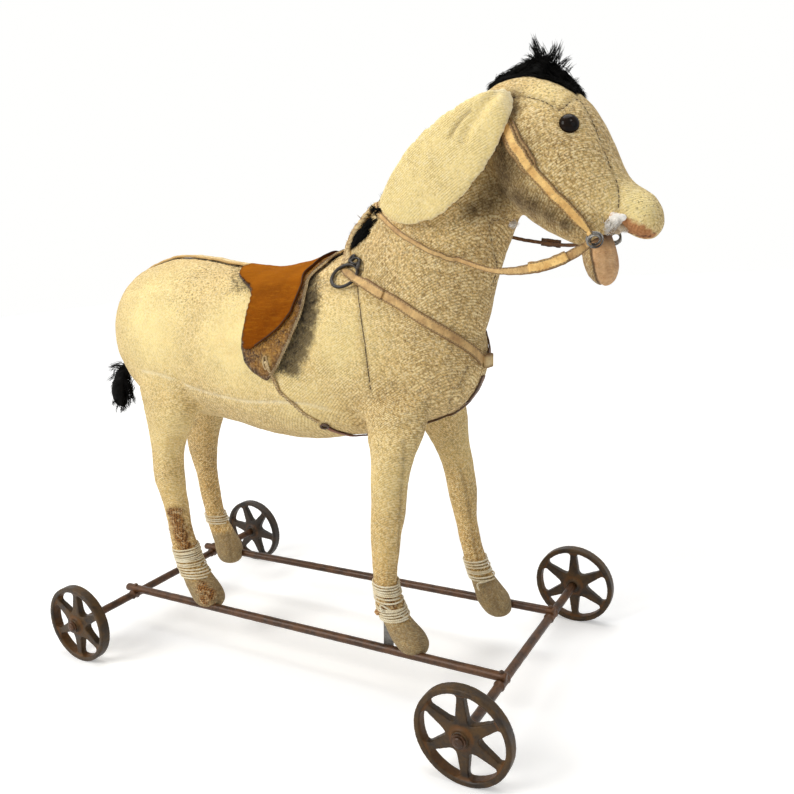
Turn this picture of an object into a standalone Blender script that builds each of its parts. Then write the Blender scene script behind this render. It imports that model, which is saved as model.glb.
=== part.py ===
"""Donkey pull toy: a stuffed cloth donkey standing on two iron rails between cast iron wheels.

Metres, +Z up, +X towards the nose, -Y is the donkey's right side. Everything is modelled in the
frame's own coordinates, whose X starts midway between the axles, and then hangs from one empty that
moves the whole toy so that its origin lies on the floor under the middle of its outer box.
Heights in the tables below are measured up from the centre line of the rails.
"""

import math

import bmesh
import bpy
import numpy as np
from mathutils import Matrix, Vector
from mathutils.bvhtree import BVHTree

# Driving sizes of the wheeled frame
WHEEL_RADIUS = 0.040
WHEELBASE = 0.4345
TRACK = 0.272
RIM_WIDTH = 0.0106
RIM_DEPTH = 0.0040
SPOKE_COUNT = 6
SPOKE_THICKNESS = 0.0042
SPOKE_WIDTH_HUB = 0.0125
SPOKE_WIDTH_WAIST = 0.0062
SPOKE_WIDTH_RIM = 0.0088
HUB_RADIUS = 0.0070
HUB_INSIDE = 0.0070
HUB_OUTSIDE = 0.0080
AXLE_RADIUS = 0.0040
STUB_RADIUS = 0.0030
RUNNING_CLEARANCE = 0.00025
END_PLAY = 0.0004
WASHER_RADIUS = 0.0062
WASHER_THICKNESS = 0.0012
AXLE_HEAD_RADIUS = 0.0044
AXLE_HEAD_LENGTH = 0.0018
RAIL_RADIUS = 0.0040
RAIL_SPACING = 0.1224
RAIL_RISE = 0.0050
RAIL_TAIL = 0.0130
RAIL_NOSE = 0.0045
RIVET_RADIUS = 0.0014
RIVET_HEAD_RADIUS = 0.0025
RIVET_HEAD_HEIGHT = 0.0012
SPOKE_TURNS = {"front_right": 30.0, "front_left": 30.0, "rear_right": 24.0, "rear_left": 49.0}

# How far the toy reaches in front of and behind the middle of its wheelbase
NOSE_REACH = 0.3332
TAIL_REACH = 0.2741

# Sizes of the frame that the leg tables below were measured at
MEASURED_RAIL_Y = 0.0612
MEASURED_AXLE_X = 0.21725

# Driving sizes of the irons inside the donkey
IRON_WIDTH = 0.0090
IRON_THICKNESS = 0.0025
SPINE_HEIGHT = 0.014
SPINE_THICKNESS = 0.0040
SPINE_LEVEL = 0.256
SPINE_REAR = -0.188
SPINE_FRONT = 0.128

# Fits
SEAM_GAP = 0.0003
SHEET_GAP = 0.0005
SADDLE_LIFT = 0.0013
FELT_LIFT = 0.0011
LOOP_GAP = 0.0008
WINDING_GAP = 0.0012

# Driving sizes of the harness and trimmings
STRAP_THICKNESS = 0.0014
BREAST_STRAP_WIDTH = 0.0095
MARTINGALE_WIDTH = 0.0070
CHEEK_STRAP_WIDTH = 0.0085
CHEEK_FOLD_WIDTH = 0.0140
CHEEK_FOLD_STATIONS = 4
HARNESS_LOOP_WIDTH = 0.0065
BIT_LOOP_WIDTH = 0.0036
REIN_WIDTH = 0.0055
TIE_WIDTH = 0.0050
CRUPPER_WIDTH = 0.0100
GIRTH_RADIUS = 0.0016
STRING_RADIUS = 0.00075
HARNESS_RING_RADIUS = 0.0125
HARNESS_WIRE_RADIUS = 0.0011
BIT_RING_RADIUS = 0.0060
BIT_WIRE_RADIUS = 0.0009
EYE_RADIUS = 0.0070
EYE_DEPTH = 0.0045
SKIRT_THICKNESS = 0.0015
FELT_THICKNESS = 0.0024

# Shares of a size at which a shape changes
SPOKE_ROOT_SHARE = 0.45
SPOKE_WAIST_SHARE = 0.62
HEAD_TOP_SHARE = 0.6
HEAD_EDGE_SHARE = 0.45

# Small helping lengths: how deep a spoke sinks in the rim, the bevel of a rail's ends, how far cutters
# run past what they cut, where rays start, the step that a leg's slope is taken over, and the weld
SPOKE_SINK = 0.0008
RAIL_END_BEVEL = 0.0012
OVERCUT = 0.012
CHANNEL_DROP = 0.030
CLEAR_OF_LEG = 0.060
CLEAR_OF_BARREL = 0.200
SLOPE_STEP = 0.012
WELD_DISTANCE = 0.00001

# How finely round things are cut
WHEEL_SIDES = 36
HUB_SIDES = 12
ROD_SIDES = 12
RIVET_SIDES = 8
HARNESS_RING_SIDES = 20
BIT_RING_SIDES = 16
EYE_SIDES = 12
EYE_RINGS = 6
SADDLE_COLUMNS = 5
LOOP_DEGREES = (65, 90, 120, 150, 180, 210, 240, 270, 295)
SHARP_DEGREES = 40
STRING_POINTS_PER_TURN = 10

# Places worked out from the sizes above
BASE_X = (TAIL_REACH - NOSE_REACH) / 2
RAIL_Y = RAIL_SPACING / 2
RAIL_Z = WHEEL_RADIUS + RAIL_RISE
AXLE_X = {"front": WHEELBASE / 2, "rear": -WHEELBASE / 2}
SIDES = {"right": -1.0, "left": 1.0}
IRON_Y = RAIL_Y - RAIL_RADIUS - SEAM_GAP - IRON_THICKNESS / 2
SPINE_SIDE_Y = SPINE_THICKNESS / 2 + SEAM_GAP + IRON_THICKNESS / 2

# Torso: x, top, bottom, half width
TORSO = [
    (-0.2320, 0.290, 0.262, 0.013),
    (-0.2250, 0.317, 0.238, 0.033),
    (-0.2060, 0.339, 0.212, 0.051),
    (-0.1750, 0.353, 0.196, 0.063),
    (-0.1250, 0.356, 0.190, 0.069),
    (-0.0750, 0.345, 0.184, 0.070),
    (-0.0250, 0.336, 0.174, 0.071),
    (0.0200, 0.340, 0.173, 0.070),
    (0.0600, 0.352, 0.179, 0.067),
    (0.1000, 0.348, 0.187, 0.062),
    (0.1400, 0.330, 0.199, 0.053),
    (0.1700, 0.304, 0.214, 0.039),
    (0.1870, 0.270, 0.240, 0.014),
]

# Neck and head: the ends of each section as seen from the side (x, height, x, height), half width
NECK = [
    (0.066, 0.300, 0.156, 0.222, 0.034),
    (0.064, 0.338, 0.178, 0.252, 0.045),
    (0.069, 0.362, 0.193, 0.283, 0.0490),
    (0.081, 0.375, 0.199, 0.309, 0.0485),
    (0.103, 0.394, 0.209, 0.338, 0.0460),
    (0.131, 0.421, 0.221, 0.363, 0.0420),
    (0.159, 0.443, 0.230, 0.385, 0.0370),
    (0.182, 0.452, 0.233, 0.405, 0.0300),
]
HEAD = [
    (0.1940, 0.456, 0.222, 0.388, 0.0290),
    (0.2060, 0.470, 0.228, 0.369, 0.0390),
    (0.2260, 0.473, 0.240, 0.359, 0.0430),
    (0.2500, 0.469, 0.253, 0.351, 0.0440),
    (0.2730, 0.456, 0.265, 0.344, 0.0420),
    (0.2880, 0.437, 0.276, 0.340, 0.0365),
    (0.2990, 0.411, 0.287, 0.345, 0.0290),
    (0.3080, 0.390, 0.300, 0.355, 0.0235),
    (0.3170, 0.383, 0.308, 0.350, 0.0215),
    (0.3280, 0.376, 0.319, 0.343, 0.0185),
    (0.3345, 0.362, 0.329, 0.345, 0.0100),
]
LOWER_JAW = [
    (0.273, 0.358, 0.290, 0.362, 0.009),
    (0.271, 0.341, 0.299, 0.342, 0.0142),
    (0.275, 0.325, 0.301, 0.325, 0.014),
    (0.280, 0.3165, 0.298, 0.316, 0.010),
    (0.286, 0.3125, 0.293, 0.312, 0.004),
]

# Ear of the right side: both edges as seen from the side, distance from the middle plane
EAR = [
    (0.2310, 0.4570, 0.2335, 0.4490, 0.0300),
    (0.2230, 0.4590, 0.2365, 0.4380, 0.0440),
    (0.2050, 0.4545, 0.2290, 0.4190, 0.0475),
    (0.1830, 0.4460, 0.2160, 0.3990, 0.0510),
    (0.1600, 0.4310, 0.1970, 0.3805, 0.0530),
    (0.1420, 0.4140, 0.1750, 0.3675, 0.0535),
    (0.1265, 0.3890, 0.1450, 0.3680, 0.0525),
]
EAR_TIP = (0.1290, 0.3815, 0.1355, 0.3755)
EAR_HALF_THICKNESS = 0.0032

# Legs: height, x, half length, half width, distance from the middle plane
LEGS = {
    "rear_right": [
        (0.262, -0.1560, 0.0470, 0.0200, 0.0280),
        (0.222, -0.1430, 0.0405, 0.0235, 0.0440),
        (0.188, -0.1410, 0.0262, 0.0195, 0.0510),
        (0.158, -0.1483, 0.0174, 0.0158, 0.0535),
        (0.130, -0.1488, 0.0162, 0.0152, 0.0540),
        (0.100, -0.1443, 0.0126, 0.0124, 0.0540),
        (0.062, -0.1400, 0.0134, 0.0126, 0.0540),
        (0.034, -0.1315, 0.0144, 0.0132, 0.0540),
        (0.013, -0.1160, 0.0200, 0.0166, 0.0540),
        (0.001, -0.1125, 0.0175, 0.0158, 0.0540),
        (-0.002, -0.1120, 0.0090, 0.0090, 0.0540),
    ],
    "rear_left": [
        (0.262, -0.1700, 0.0400, 0.0200, 0.0280),
        (0.220, -0.1795, 0.0385, 0.0235, 0.0445),
        (0.180, -0.1925, 0.0278, 0.0210, 0.0510),
        (0.146, -0.2050, 0.0210, 0.0188, 0.0535),
        (0.116, -0.2068, 0.0153, 0.0147, 0.0540),
        (0.084, -0.2042, 0.0118, 0.0115, 0.0540),
        (0.048, -0.2010, 0.0124, 0.0119, 0.0540),
        (0.026, -0.1905, 0.0138, 0.0130, 0.0540),
        (0.009, -0.1838, 0.0182, 0.0162, 0.0540),
        (-0.004, -0.1830, 0.0163, 0.0150, 0.0540),
        (-0.010, -0.1830, 0.0100, 0.0100, 0.0540),
    ],
    "front_right": [
        (0.240, 0.1160, 0.0380, 0.0190, 0.0260),
        (0.206, 0.1215, 0.0305, 0.0225, 0.0390),
        (0.178, 0.1203, 0.0203, 0.0188, 0.0490),
        (0.150, 0.1168, 0.0158, 0.0156, 0.0535),
        (0.124, 0.1143, 0.0165, 0.0159, 0.0540),
        (0.098, 0.1093, 0.0132, 0.0130, 0.0540),
        (0.062, 0.1063, 0.0107, 0.0106, 0.0540),
        (0.038, 0.1095, 0.0127, 0.0122, 0.0540),
        (0.022, 0.1195, 0.0146, 0.0136, 0.0540),
        (0.009, 0.1292, 0.0183, 0.0156, 0.0540),
        (-0.002, 0.1305, 0.0130, 0.0120, 0.0540),
    ],
    "front_left": [
        (0.240, 0.1160, 0.0380, 0.0190, 0.0260),
        (0.204, 0.1202, 0.0305, 0.0225, 0.0390),
        (0.170, 0.1232, 0.0205, 0.0195, 0.0505),
        (0.144, 0.1312, 0.0157, 0.0155, 0.0535),
        (0.116, 0.1337, 0.0155, 0.0153, 0.0540),
        (0.086, 0.1363, 0.0112, 0.0110, 0.0540),
        (0.050, 0.1420, 0.0111, 0.0108, 0.0540),
        (0.028, 0.1500, 0.0126, 0.0120, 0.0540),
        (0.012, 0.1597, 0.0172, 0.0152, 0.0540),
        (-0.001, 0.1647, 0.0178, 0.0156, 0.0540),
        (-0.010, 0.1668, 0.0100, 0.0095, 0.0540),
    ],
}

# Leg irons: x and height, from the rail up to the spine
IRONS = {
    "rear_right": [(-0.125, 0.0), (-0.128, 0.024), (-0.142, 0.075), (-0.147, 0.150), (-0.142, 0.206),
                   (-0.142, 0.246), (-0.142, 0.260)],
    "rear_left": [(-0.192, 0.0), (-0.194, 0.024), (-0.203, 0.075), (-0.200, 0.150), (-0.182, 0.206),
                  (-0.172, 0.246), (-0.172, 0.260)],
    "front_right": [(0.1057, 0.0), (0.1075, 0.024), (0.107, 0.075), (0.116, 0.150), (0.119, 0.206),
                    (0.112, 0.246), (0.112, 0.260)],
    "front_left": [(0.150, 0.0), (0.147, 0.024), (0.139, 0.075), (0.130, 0.150), (0.121, 0.206),
                   (0.116, 0.246), (0.116, 0.260)],
}
IRON_BENDS_OUT = [0.0540, 0.0530, 0.0445]

# String bindings: top height, bottom height, turns
BINDINGS = {
    "rear_right": (0.057, 0.030, 9),
    "rear_left": (0.050, 0.041, 3),
    "front_right": (0.061, 0.031, 10),
    "front_left": (0.046, 0.028, 6),
}

# Hair: both edges as seen from the side, half width, distance from the middle plane
FORELOCK = [
    (0.207, 0.4735, 0.207, 0.462, 0.0030, 0.0),
    (0.220, 0.4800, 0.220, 0.464, 0.0075, 0.0),
    (0.237, 0.4885, 0.237, 0.464, 0.0100, 0.0),
    (0.254, 0.4850, 0.252, 0.460, 0.0085, 0.0),
    (0.272, 0.4650, 0.268, 0.452, 0.0035, 0.0),
]
NECK_MANE = [
    (0.066, 0.3655, 0.072, 0.353, 0.0030, 0.0),
    (0.084, 0.3820, 0.090, 0.369, 0.0048, 0.0),
    (0.115, 0.4140, 0.122, 0.401, 0.0050, 0.0),
    (0.150, 0.4455, 0.157, 0.432, 0.0050, 0.0),
    (0.176, 0.4590, 0.181, 0.444, 0.0035, 0.0),
]
TAIL = [
    (-0.214, 0.274, -0.222, 0.257, 0.005, -0.004),
    (-0.244, 0.258, -0.234, 0.238, 0.008, -0.008),
    (-0.264, 0.240, -0.244, 0.223, 0.011, -0.012),
    (-0.275, 0.220, -0.245, 0.209, 0.013, -0.015),
    (-0.273, 0.200, -0.243, 0.198, 0.011, -0.017),
    (-0.262, 0.191, -0.247, 0.191, 0.005, -0.018),
]

# Saddle on the barrel: angle from straight up in degrees, rear x, front x
BARREL_AXIS = 0.259
FELT = [
    (0.0, -0.0540, 0.0440),
    (10.0, -0.0540, 0.0440),
    (19.6, -0.0476, 0.0410),
    (26.0, -0.0365, 0.0365),
    (30.0, -0.0264, 0.0375),
    (36.5, -0.0180, 0.0406),
    (46.0, -0.0152, 0.0404),
    (56.0, -0.0142, 0.0366),
    (65.0, -0.0138, 0.0268),
    (72.0, -0.0130, 0.0142),
    (78.0, -0.0118, 0.0010),
    (80.2, -0.0105, -0.0040),
]
SKIRT = [
    (0.0, -0.0560, 0.0580),
    (10.0, -0.0560, 0.0580),
    (20.0, -0.0490, 0.0550),
    (27.0, -0.0370, 0.0480),
    (33.0, -0.0255, 0.0450),
    (40.0, -0.0180, 0.0466),
    (50.0, -0.0170, 0.0480),
    (60.0, -0.0167, 0.0458),
    (70.0, -0.0165, 0.0400),
    (80.0, -0.0160, 0.0325),
    (89.0, -0.0125, 0.0262),
    (95.0, -0.0060, 0.0200),
    (99.5, 0.0020, 0.0142),
    (102.0, 0.0080, 0.0105),
]

# Routes of the harness on the right side, drawn a little outside the cloth: x, y, height
CRUPPER_ROUTE = [(-0.068, 0.0, 0.36), (-0.090, 0.0, 0.37), (-0.115, 0.0, 0.37), (-0.140, 0.0, 0.37),
                 (-0.165, 0.0, 0.37), (-0.188, 0.0, 0.36), (-0.206, 0.0, 0.35)]
RING_PLACE = (0.083, -0.0455, 0.332)
BREAST_ROUTE = [(0.1045, -0.0460, 0.3235), (0.1130, -0.0475, 0.3187), (0.1210, -0.0485, 0.3145),
                (0.1290, -0.0490, 0.3103), (0.1375, -0.0485, 0.3050), (0.1455, -0.0465, 0.2995),
                (0.1530, -0.0440, 0.2940), (0.1600, -0.0405, 0.2885), (0.1665, -0.0360, 0.2830),
                (0.1725, -0.0310, 0.2775), (0.1780, -0.0255, 0.2720), (0.1830, -0.0195, 0.2660),
                (0.1865, -0.0130, 0.2600), (0.1885, -0.0055, 0.2520)]
KEEPER_PLACE = (0.205, 0.0, 0.250)
KEEPER_SIZE = (0.005, 0.014, 0.013)
MARTINGALE_ROUTE = [(0.1900, 0.0, 0.2385), (0.1850, 0.0, 0.2290), (0.1770, 0.0, 0.2190), (0.1660, 0.0, 0.2100),
                    (0.1530, 0.0, 0.2030), (0.1400, 0.0, 0.1980), (0.1260, 0.0, 0.1935), (0.1120, 0.0, 0.1895),
                    (0.0980, 0.0, 0.1860), (0.0840, 0.0, 0.1830), (0.0700, 0.0, 0.1800)]
GIRTH_ROUTE = [(0.0150, -0.0672, 0.2400), (0.0200, -0.0655, 0.2340), (0.0257, -0.0622, 0.2263),
               (0.0300, -0.0590, 0.2200), (0.0345, -0.0550, 0.2140), (0.0434, -0.0474, 0.2038),
               (0.0520, -0.0355, 0.1940), (0.0585, -0.0240, 0.1880), (0.0640, -0.0120, 0.1830),
               (0.0660, 0.0, 0.1800)]
CHEEK_ROUTE = [(0.2290, -0.055, 0.4360), (0.2360, -0.056, 0.4215), (0.2410, -0.057, 0.4120),
               (0.2465, -0.057, 0.4010), (0.2530, -0.056, 0.3920), (0.2600, -0.054, 0.3835),
               (0.2670, -0.051, 0.3740), (0.2740, -0.046, 0.3660)]
BIT_PLACE = (0.2905, -0.0285, 0.347)
REINS = {
    "right": ([(0.276, -0.0330, 0.338), (0.262, -0.0365, 0.332), (0.246, -0.0390, 0.329), (0.229, -0.0405, 0.328),
               (0.212, -0.0415, 0.330)],
              [(0.1960, -0.0500, 0.3335), (0.1840, -0.0520, 0.3375), (0.1710, -0.0520, 0.3440),
               (0.1575, -0.0510, 0.3517), (0.1400, -0.0490, 0.3621), (0.1276, -0.0440, 0.3707),
               (0.1145, -0.0360, 0.3790), (0.1060, -0.0260, 0.3850), (0.1015, -0.0170, 0.3890)]),
    "left": ([(0.276, -0.0330, 0.3445), (0.262, -0.0355, 0.343), (0.246, -0.0380, 0.3435), (0.229, -0.0400, 0.3462),
              (0.212, -0.0410, 0.3495)],
             [(0.1960, -0.0480, 0.3540), (0.1820, -0.0520, 0.3570), (0.1680, -0.0530, 0.3610),
              (0.1540, -0.0520, 0.3660), (0.1400, -0.0490, 0.3710), (0.1276, -0.0440, 0.3765),
              (0.1145, -0.0360, 0.3820), (0.1060, -0.0260, 0.3860), (0.1015, -0.0170, 0.3890)]),
}
TIE_ROUTE = [(0.0830, -0.0345, 0.3465), (0.0870, -0.0350, 0.3520), (0.0910, -0.0350, 0.3580),
             (0.0945, -0.0340, 0.3640), (0.0960, -0.0300, 0.3710), (0.0945, -0.0230, 0.3770),
             (0.0925, -0.0155, 0.3815), (0.0905, -0.0075, 0.3840), (0.0900, 0.0, 0.3850)]
EYE_PLACE = (0.2930, -0.052, 0.4370)


def clear_scene():
    for obj in list(bpy.data.objects):
        bpy.data.objects.remove(obj, do_unlink=True)


def new_collection(name):
    collection = bpy.data.collections.new(name)
    bpy.context.scene.collection.children.link(collection)
    return collection


clear_scene()
TOY = new_collection("donkey_pull_toy")
CUTTERS = new_collection("cutters")
ORIGIN = bpy.data.objects.new("toy_frame", None)
ORIGIN.location = (BASE_X, 0.0, 0.0)
TOY.objects.link(ORIGIN)


def material(name, colour, roughness, metallic=0.0):
    finish = bpy.data.materials.new(name)
    finish.use_nodes = True
    shader = finish.node_tree.nodes["Principled BSDF"]
    shader.inputs["Base Color"].default_value = (*colour, 1.0)
    shader.inputs["Roughness"].default_value = roughness
    shader.inputs["Metallic"].default_value = metallic
    finish.diffuse_color = (*colour, 1.0)
    return finish


CLOTH = material("tweed_cloth", (0.62, 0.53, 0.36), 0.95)
FELT_PINK = material("jaw_felt", (0.62, 0.33, 0.20), 0.95)
FELT_BROWN = material("saddle_felt", (0.42, 0.14, 0.02), 0.9)
SKIRT_LEATHER = material("skirt_leather", (0.13, 0.05, 0.02), 0.4)
TAN_LEATHER = material("tan_leather", (0.56, 0.33, 0.15), 0.6)
PALE_LEATHER = material("pale_leather", (0.75, 0.62, 0.42), 0.7)
HAIR = material("black_hair", (0.012, 0.011, 0.012), 0.7)
STRING = material("cotton_string", (0.72, 0.60, 0.38), 0.9)
GLASS = material("eye_button", (0.02, 0.012, 0.008), 0.15)
RUST = material("rusty_steel", (0.13, 0.065, 0.04), 0.6, 0.7)
CASTING = material("cast_iron", (0.10, 0.06, 0.03), 0.55, 0.7)
WIRE = material("black_wire", (0.02, 0.02, 0.025), 0.4, 0.8)


def add_object(name, mesh, finish, collection=TOY):
    obj = bpy.data.objects.new(name, mesh)
    if finish:
        mesh.materials.clear()
        mesh.materials.append(finish)
    obj.parent = ORIGIN
    collection.objects.link(obj)
    return obj


def as_cutter(obj):
    for collection in list(obj.users_collection):
        collection.objects.unlink(obj)
    CUTTERS.objects.link(obj)
    obj.hide_render = True
    obj.display_type = "WIRE"
    return obj


def mesh_of(work, name, smooth=True):
    """A mesh from a bmesh, its faces turned outwards."""
    work.normal_update()
    bmesh.ops.recalc_face_normals(work, faces=work.faces)
    mesh = bpy.data.meshes.new(name)
    work.to_mesh(mesh)
    work.free()
    if smooth:
        mesh.shade_smooth()
        mesh.set_sharp_from_angle(angle=math.radians(SHARP_DEGREES))
    return mesh


def baked(obj, name=None):
    """The object's evaluated shape as a plain mesh with welded caps, for a curve or a modifier stack."""
    bpy.context.view_layer.update()
    graph = bpy.context.evaluated_depsgraph_get()
    mesh = bpy.data.meshes.new_from_object(obj.evaluated_get(graph))
    work = bmesh.new()
    work.from_mesh(mesh)
    bmesh.ops.remove_doubles(work, verts=work.verts, dist=WELD_DISTANCE)
    work.to_mesh(mesh)
    work.free()
    mesh.name = name or obj.name
    return mesh


def to_mesh_object(obj, finish, collection=TOY):
    """Swaps a curve or a modifier stack for the mesh that it makes, at the same place."""
    mesh = baked(obj)
    name = obj.name
    place = obj.matrix_basis.copy()
    bpy.data.objects.remove(obj, do_unlink=True)
    solid = add_object(name, mesh, finish, collection)
    solid.matrix_basis = place
    return solid


def cut(obj, cutter):
    modifier = obj.modifiers.new("cut_by_" + cutter.name, "BOOLEAN")
    modifier.operation = "DIFFERENCE"
    modifier.solver = "EXACT"
    modifier.object = cutter


def skin(name, rings, finish, collection=TOY):
    """A closed solid through rings of points, all with the same count, with flat ends."""
    work = bmesh.new()
    loops = [[work.verts.new(point) for point in ring] for ring in rings]
    count = len(loops[0])
    for lower, upper in zip(loops, loops[1:]):
        for i in range(count):
            j = (i + 1) % count
            work.faces.new((lower[i], lower[j], upper[j], upper[i]))
    work.faces.new(loops[0])
    work.faces.new(loops[-1])
    return add_object(name, mesh_of(work, name), finish, collection)


def held(rows):
    """Cage rows that a Subdivision Surface brings back to the given ones, along the form."""
    table = np.array(rows, float)
    before = np.vstack([table[:1], table[:-1]])
    after = np.vstack([table[1:], table[-1:]])
    return table + (2 * table - before - after) / 8


def section(x_one, high_one, x_two, high_two, half_width, y, sides):
    """An oval cage ring whose long ends are two points seen from the side. Heights count from the rails.
    It is made fuller by what the rounding takes off a ring of so many sides."""
    one = Vector((x_one, y, RAIL_Z + high_one))
    two = Vector((x_two, y, RAIL_Z + high_two))
    middle = (one + two) / 2
    fullness = 4 / (3 + math.cos(2 * math.pi / sides))
    half = (one - two) / 2 * fullness
    half_width *= fullness
    ring = []
    for i in range(sides):
        turn = 2 * math.pi * (i + 0.5) / sides
        ring.append(middle + half * math.cos(turn) + Vector((0.0, half_width * math.sin(turn), 0.0)))
    return ring


def stuffed(name, rows, finish, sides):
    """A stuffed form through the rows (x, height, x, height, half width, y), rounded from a coarse cage."""
    form = skin(name, [section(*row, sides) for row in held(rows)], finish)
    rounding = form.modifiers.new("rounding", "SUBSURF")
    rounding.levels = 1
    rounding.render_levels = 1
    form.modifiers.new("facets", "TRIANGULATE")
    return form


def allowance(obj, gap=SEAM_GAP):
    """A cutter that stands proud of the object all round by the gap that neighbours keep."""
    shell = obj.copy()
    shell.data = obj.data.copy()
    shell.name = obj.name + "_allowance"
    CUTTERS.objects.link(shell)
    grow = shell.modifiers.new("gap", "DISPLACE")
    grow.strength = gap
    grow.mid_level = 0.0
    return as_cutter(shell)


def tree_of(obj):
    """A search tree of the object's mesh in the toy frame's own coordinates."""
    work = bmesh.new()
    work.from_mesh(baked(obj))
    work.transform(obj.matrix_basis)
    tree = BVHTree.FromBMesh(work)
    work.free()
    return tree


def seated(point, trees):
    """The nearest place on the bodies to a point drawn a little outside them, and the way out there."""
    spot = Vector((point[0], point[1], RAIL_Z + point[2]))
    best = min((tree.find_nearest(spot) for tree in trees), key=lambda found: found[3])
    place, face_normal = best[0], best[1]
    out = spot - place
    if out.dot(face_normal) < 0.0 or out.length < 0.0001:
        out = face_normal
    return place, out.normalized()


def mirrored(point):
    return (point[0], -point[1], point[2])


def evened(vectors):
    """Directions along a route, each averaged with its neighbours."""
    found = []
    for i in range(len(vectors)):
        near = vectors[max(0, i - 1):i + 2]
        found.append(sum(near, Vector()).normalized())
    return found


def rise_under(centre, side, out, width, trees):
    """How far the cloth under a strap's width stands above the strap's own resting point."""
    highest = 0.0
    for share in (-0.5, -0.25, 0.25, 0.5):
        start = centre + side * (share * width) + out * width
        hits = [tree.ray_cast(start, -out, 2 * width)[0] for tree in trees]
        highest = max([highest] + [(hit - centre).dot(out) for hit in hits if hit])
    return highest


def strap_path(route, trees, width, layer=0):
    """Centre points and sideways directions of a strap that lies on the bodies along the route.
    Layer 1 lies on a first strap along the same route."""
    spots = [seated(point, trees) for point in route]
    places = [place for place, _ in spots]
    outs = evened([out for _, out in spots])
    path = []
    for i, place in enumerate(places):
        along = places[min(i + 1, len(places) - 1)] - places[max(i - 1, 0)]
        side = outs[i].cross(along).normalized()
        lift = rise_under(place, side, outs[i], width, trees) + SHEET_GAP + STRAP_THICKNESS / 2
        path.append((place + outs[i] * (lift + layer * (STRAP_THICKNESS + SHEET_GAP)), side))
    return path


def ring_loop(centre, outward, towards, ring_radius, wire_radius):
    """The bend of a strap round a ring's wire, from on top of the ring to underneath it."""
    along = (towards - outward * towards.dot(outward)).normalized()
    side = outward.cross(along).normalized()
    wire = centre + along * ring_radius
    bend = wire_radius + LOOP_GAP + STRAP_THICKNESS / 2
    path = []
    for degrees in LOOP_DEGREES:
        turn = math.radians(degrees)
        path.append((wire + along * (bend * math.cos(turn)) + outward * (bend * math.sin(turn)), side))
    return path, side


def strap(name, path, widths, finish, thickness=STRAP_THICKNESS):
    """A flat strip through centre points, each with its sideways direction and width."""
    rings = []
    for i, (centre, side) in enumerate(path):
        along = path[min(i + 1, len(path) - 1)][0] - path[max(i - 1, 0)][0]
        across = (side - along.normalized() * side.dot(along.normalized())).normalized()
        up = along.normalized().cross(across).normalized()
        half = across * (widths[i] / 2)
        deep = up * (thickness / 2)
        rings.append([centre + half + deep, centre - half + deep, centre - half - deep, centre + half - deep])
    return skin(name, rings, finish)


def tapered(path, loop, width, loop_width):
    """The width at each point of a path, narrower where it bends round a ring."""
    bend = [centre for centre, _ in loop]
    return [loop_width if centre in bend else width for centre, _ in path]


def facing(path):
    """The same path with every sideways direction on the first one's side."""
    found = [path[0]]
    for centre, side in path[1:]:
        found.append((centre, side if side.dot(found[-1][1]) > 0.0 else -side))
    return found


def tube_curve(name, points, radius, finish, bevel_resolution=1, cyclic=False):
    curve = bpy.data.curves.new(name, "CURVE")
    curve.dimensions = "3D"
    curve.bevel_depth = radius
    curve.bevel_resolution = bevel_resolution
    curve.use_fill_caps = not cyclic
    spline = curve.splines.new("POLY")
    spline.points.add(len(points) - 1)
    for spot, point in zip(spline.points, points):
        spot.co = (*point, 1.0)
    spline.use_cyclic_u = cyclic
    curve.materials.append(finish)
    obj = bpy.data.objects.new(name, curve)
    obj.parent = ORIGIN
    TOY.objects.link(obj)
    return obj


def rod(name, radius, start, end, finish, collection=TOY, sides=ROD_SIDES, bevel=0.0):
    """A round bar between two points."""
    start = Vector(start)
    end = Vector(end)
    work = bmesh.new()
    bmesh.ops.create_cone(work, cap_ends=True, segments=sides, radius1=radius, radius2=radius,
                          depth=(end - start).length)
    turn = (end - start).to_track_quat("Z", "Y").to_matrix().to_4x4()
    work.transform(Matrix.Translation((start + end) / 2) @ turn)
    obj = add_object(name, mesh_of(work, name), finish, collection)
    if bevel:
        edge = obj.modifiers.new("rounded_end", "BEVEL")
        edge.width = bevel
        edge.segments = 1
        edge.limit_method = "ANGLE"
    return obj


def turned(name, profile, sides, finish, collection=TOY):
    """A turned solid about Z, from a profile of radius and height that runs from top to bottom."""
    mesh = bpy.data.meshes.new(name)
    points = [(radius, 0.0, height) for radius, height in profile]
    edges = [(i, i + 1) for i in range(len(points) - 1)]
    if profile[0][0] > 0.0:
        edges.append((len(points) - 1, 0))
    mesh.from_pydata(points, edges, [])
    obj = bpy.data.objects.new(name, mesh)
    obj.parent = ORIGIN
    collection.objects.link(obj)
    spin = obj.modifiers.new("spin", "SCREW")
    spin.steps = sides
    spin.render_steps = sides
    spin.use_merge_vertices = True
    spin.merge_threshold = WELD_DISTANCE
    return to_mesh_object(obj, finish, collection)


def lay_along_y(obj, x, y, z, outward=1.0):
    """Turns a piece made about Z so that its +Z points to outward Y, at a place on its own axis."""
    tilt = Matrix.Rotation(-outward * math.pi / 2, 4, "X")
    obj.matrix_basis = Matrix.Translation((x, y, z)) @ tilt


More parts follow.
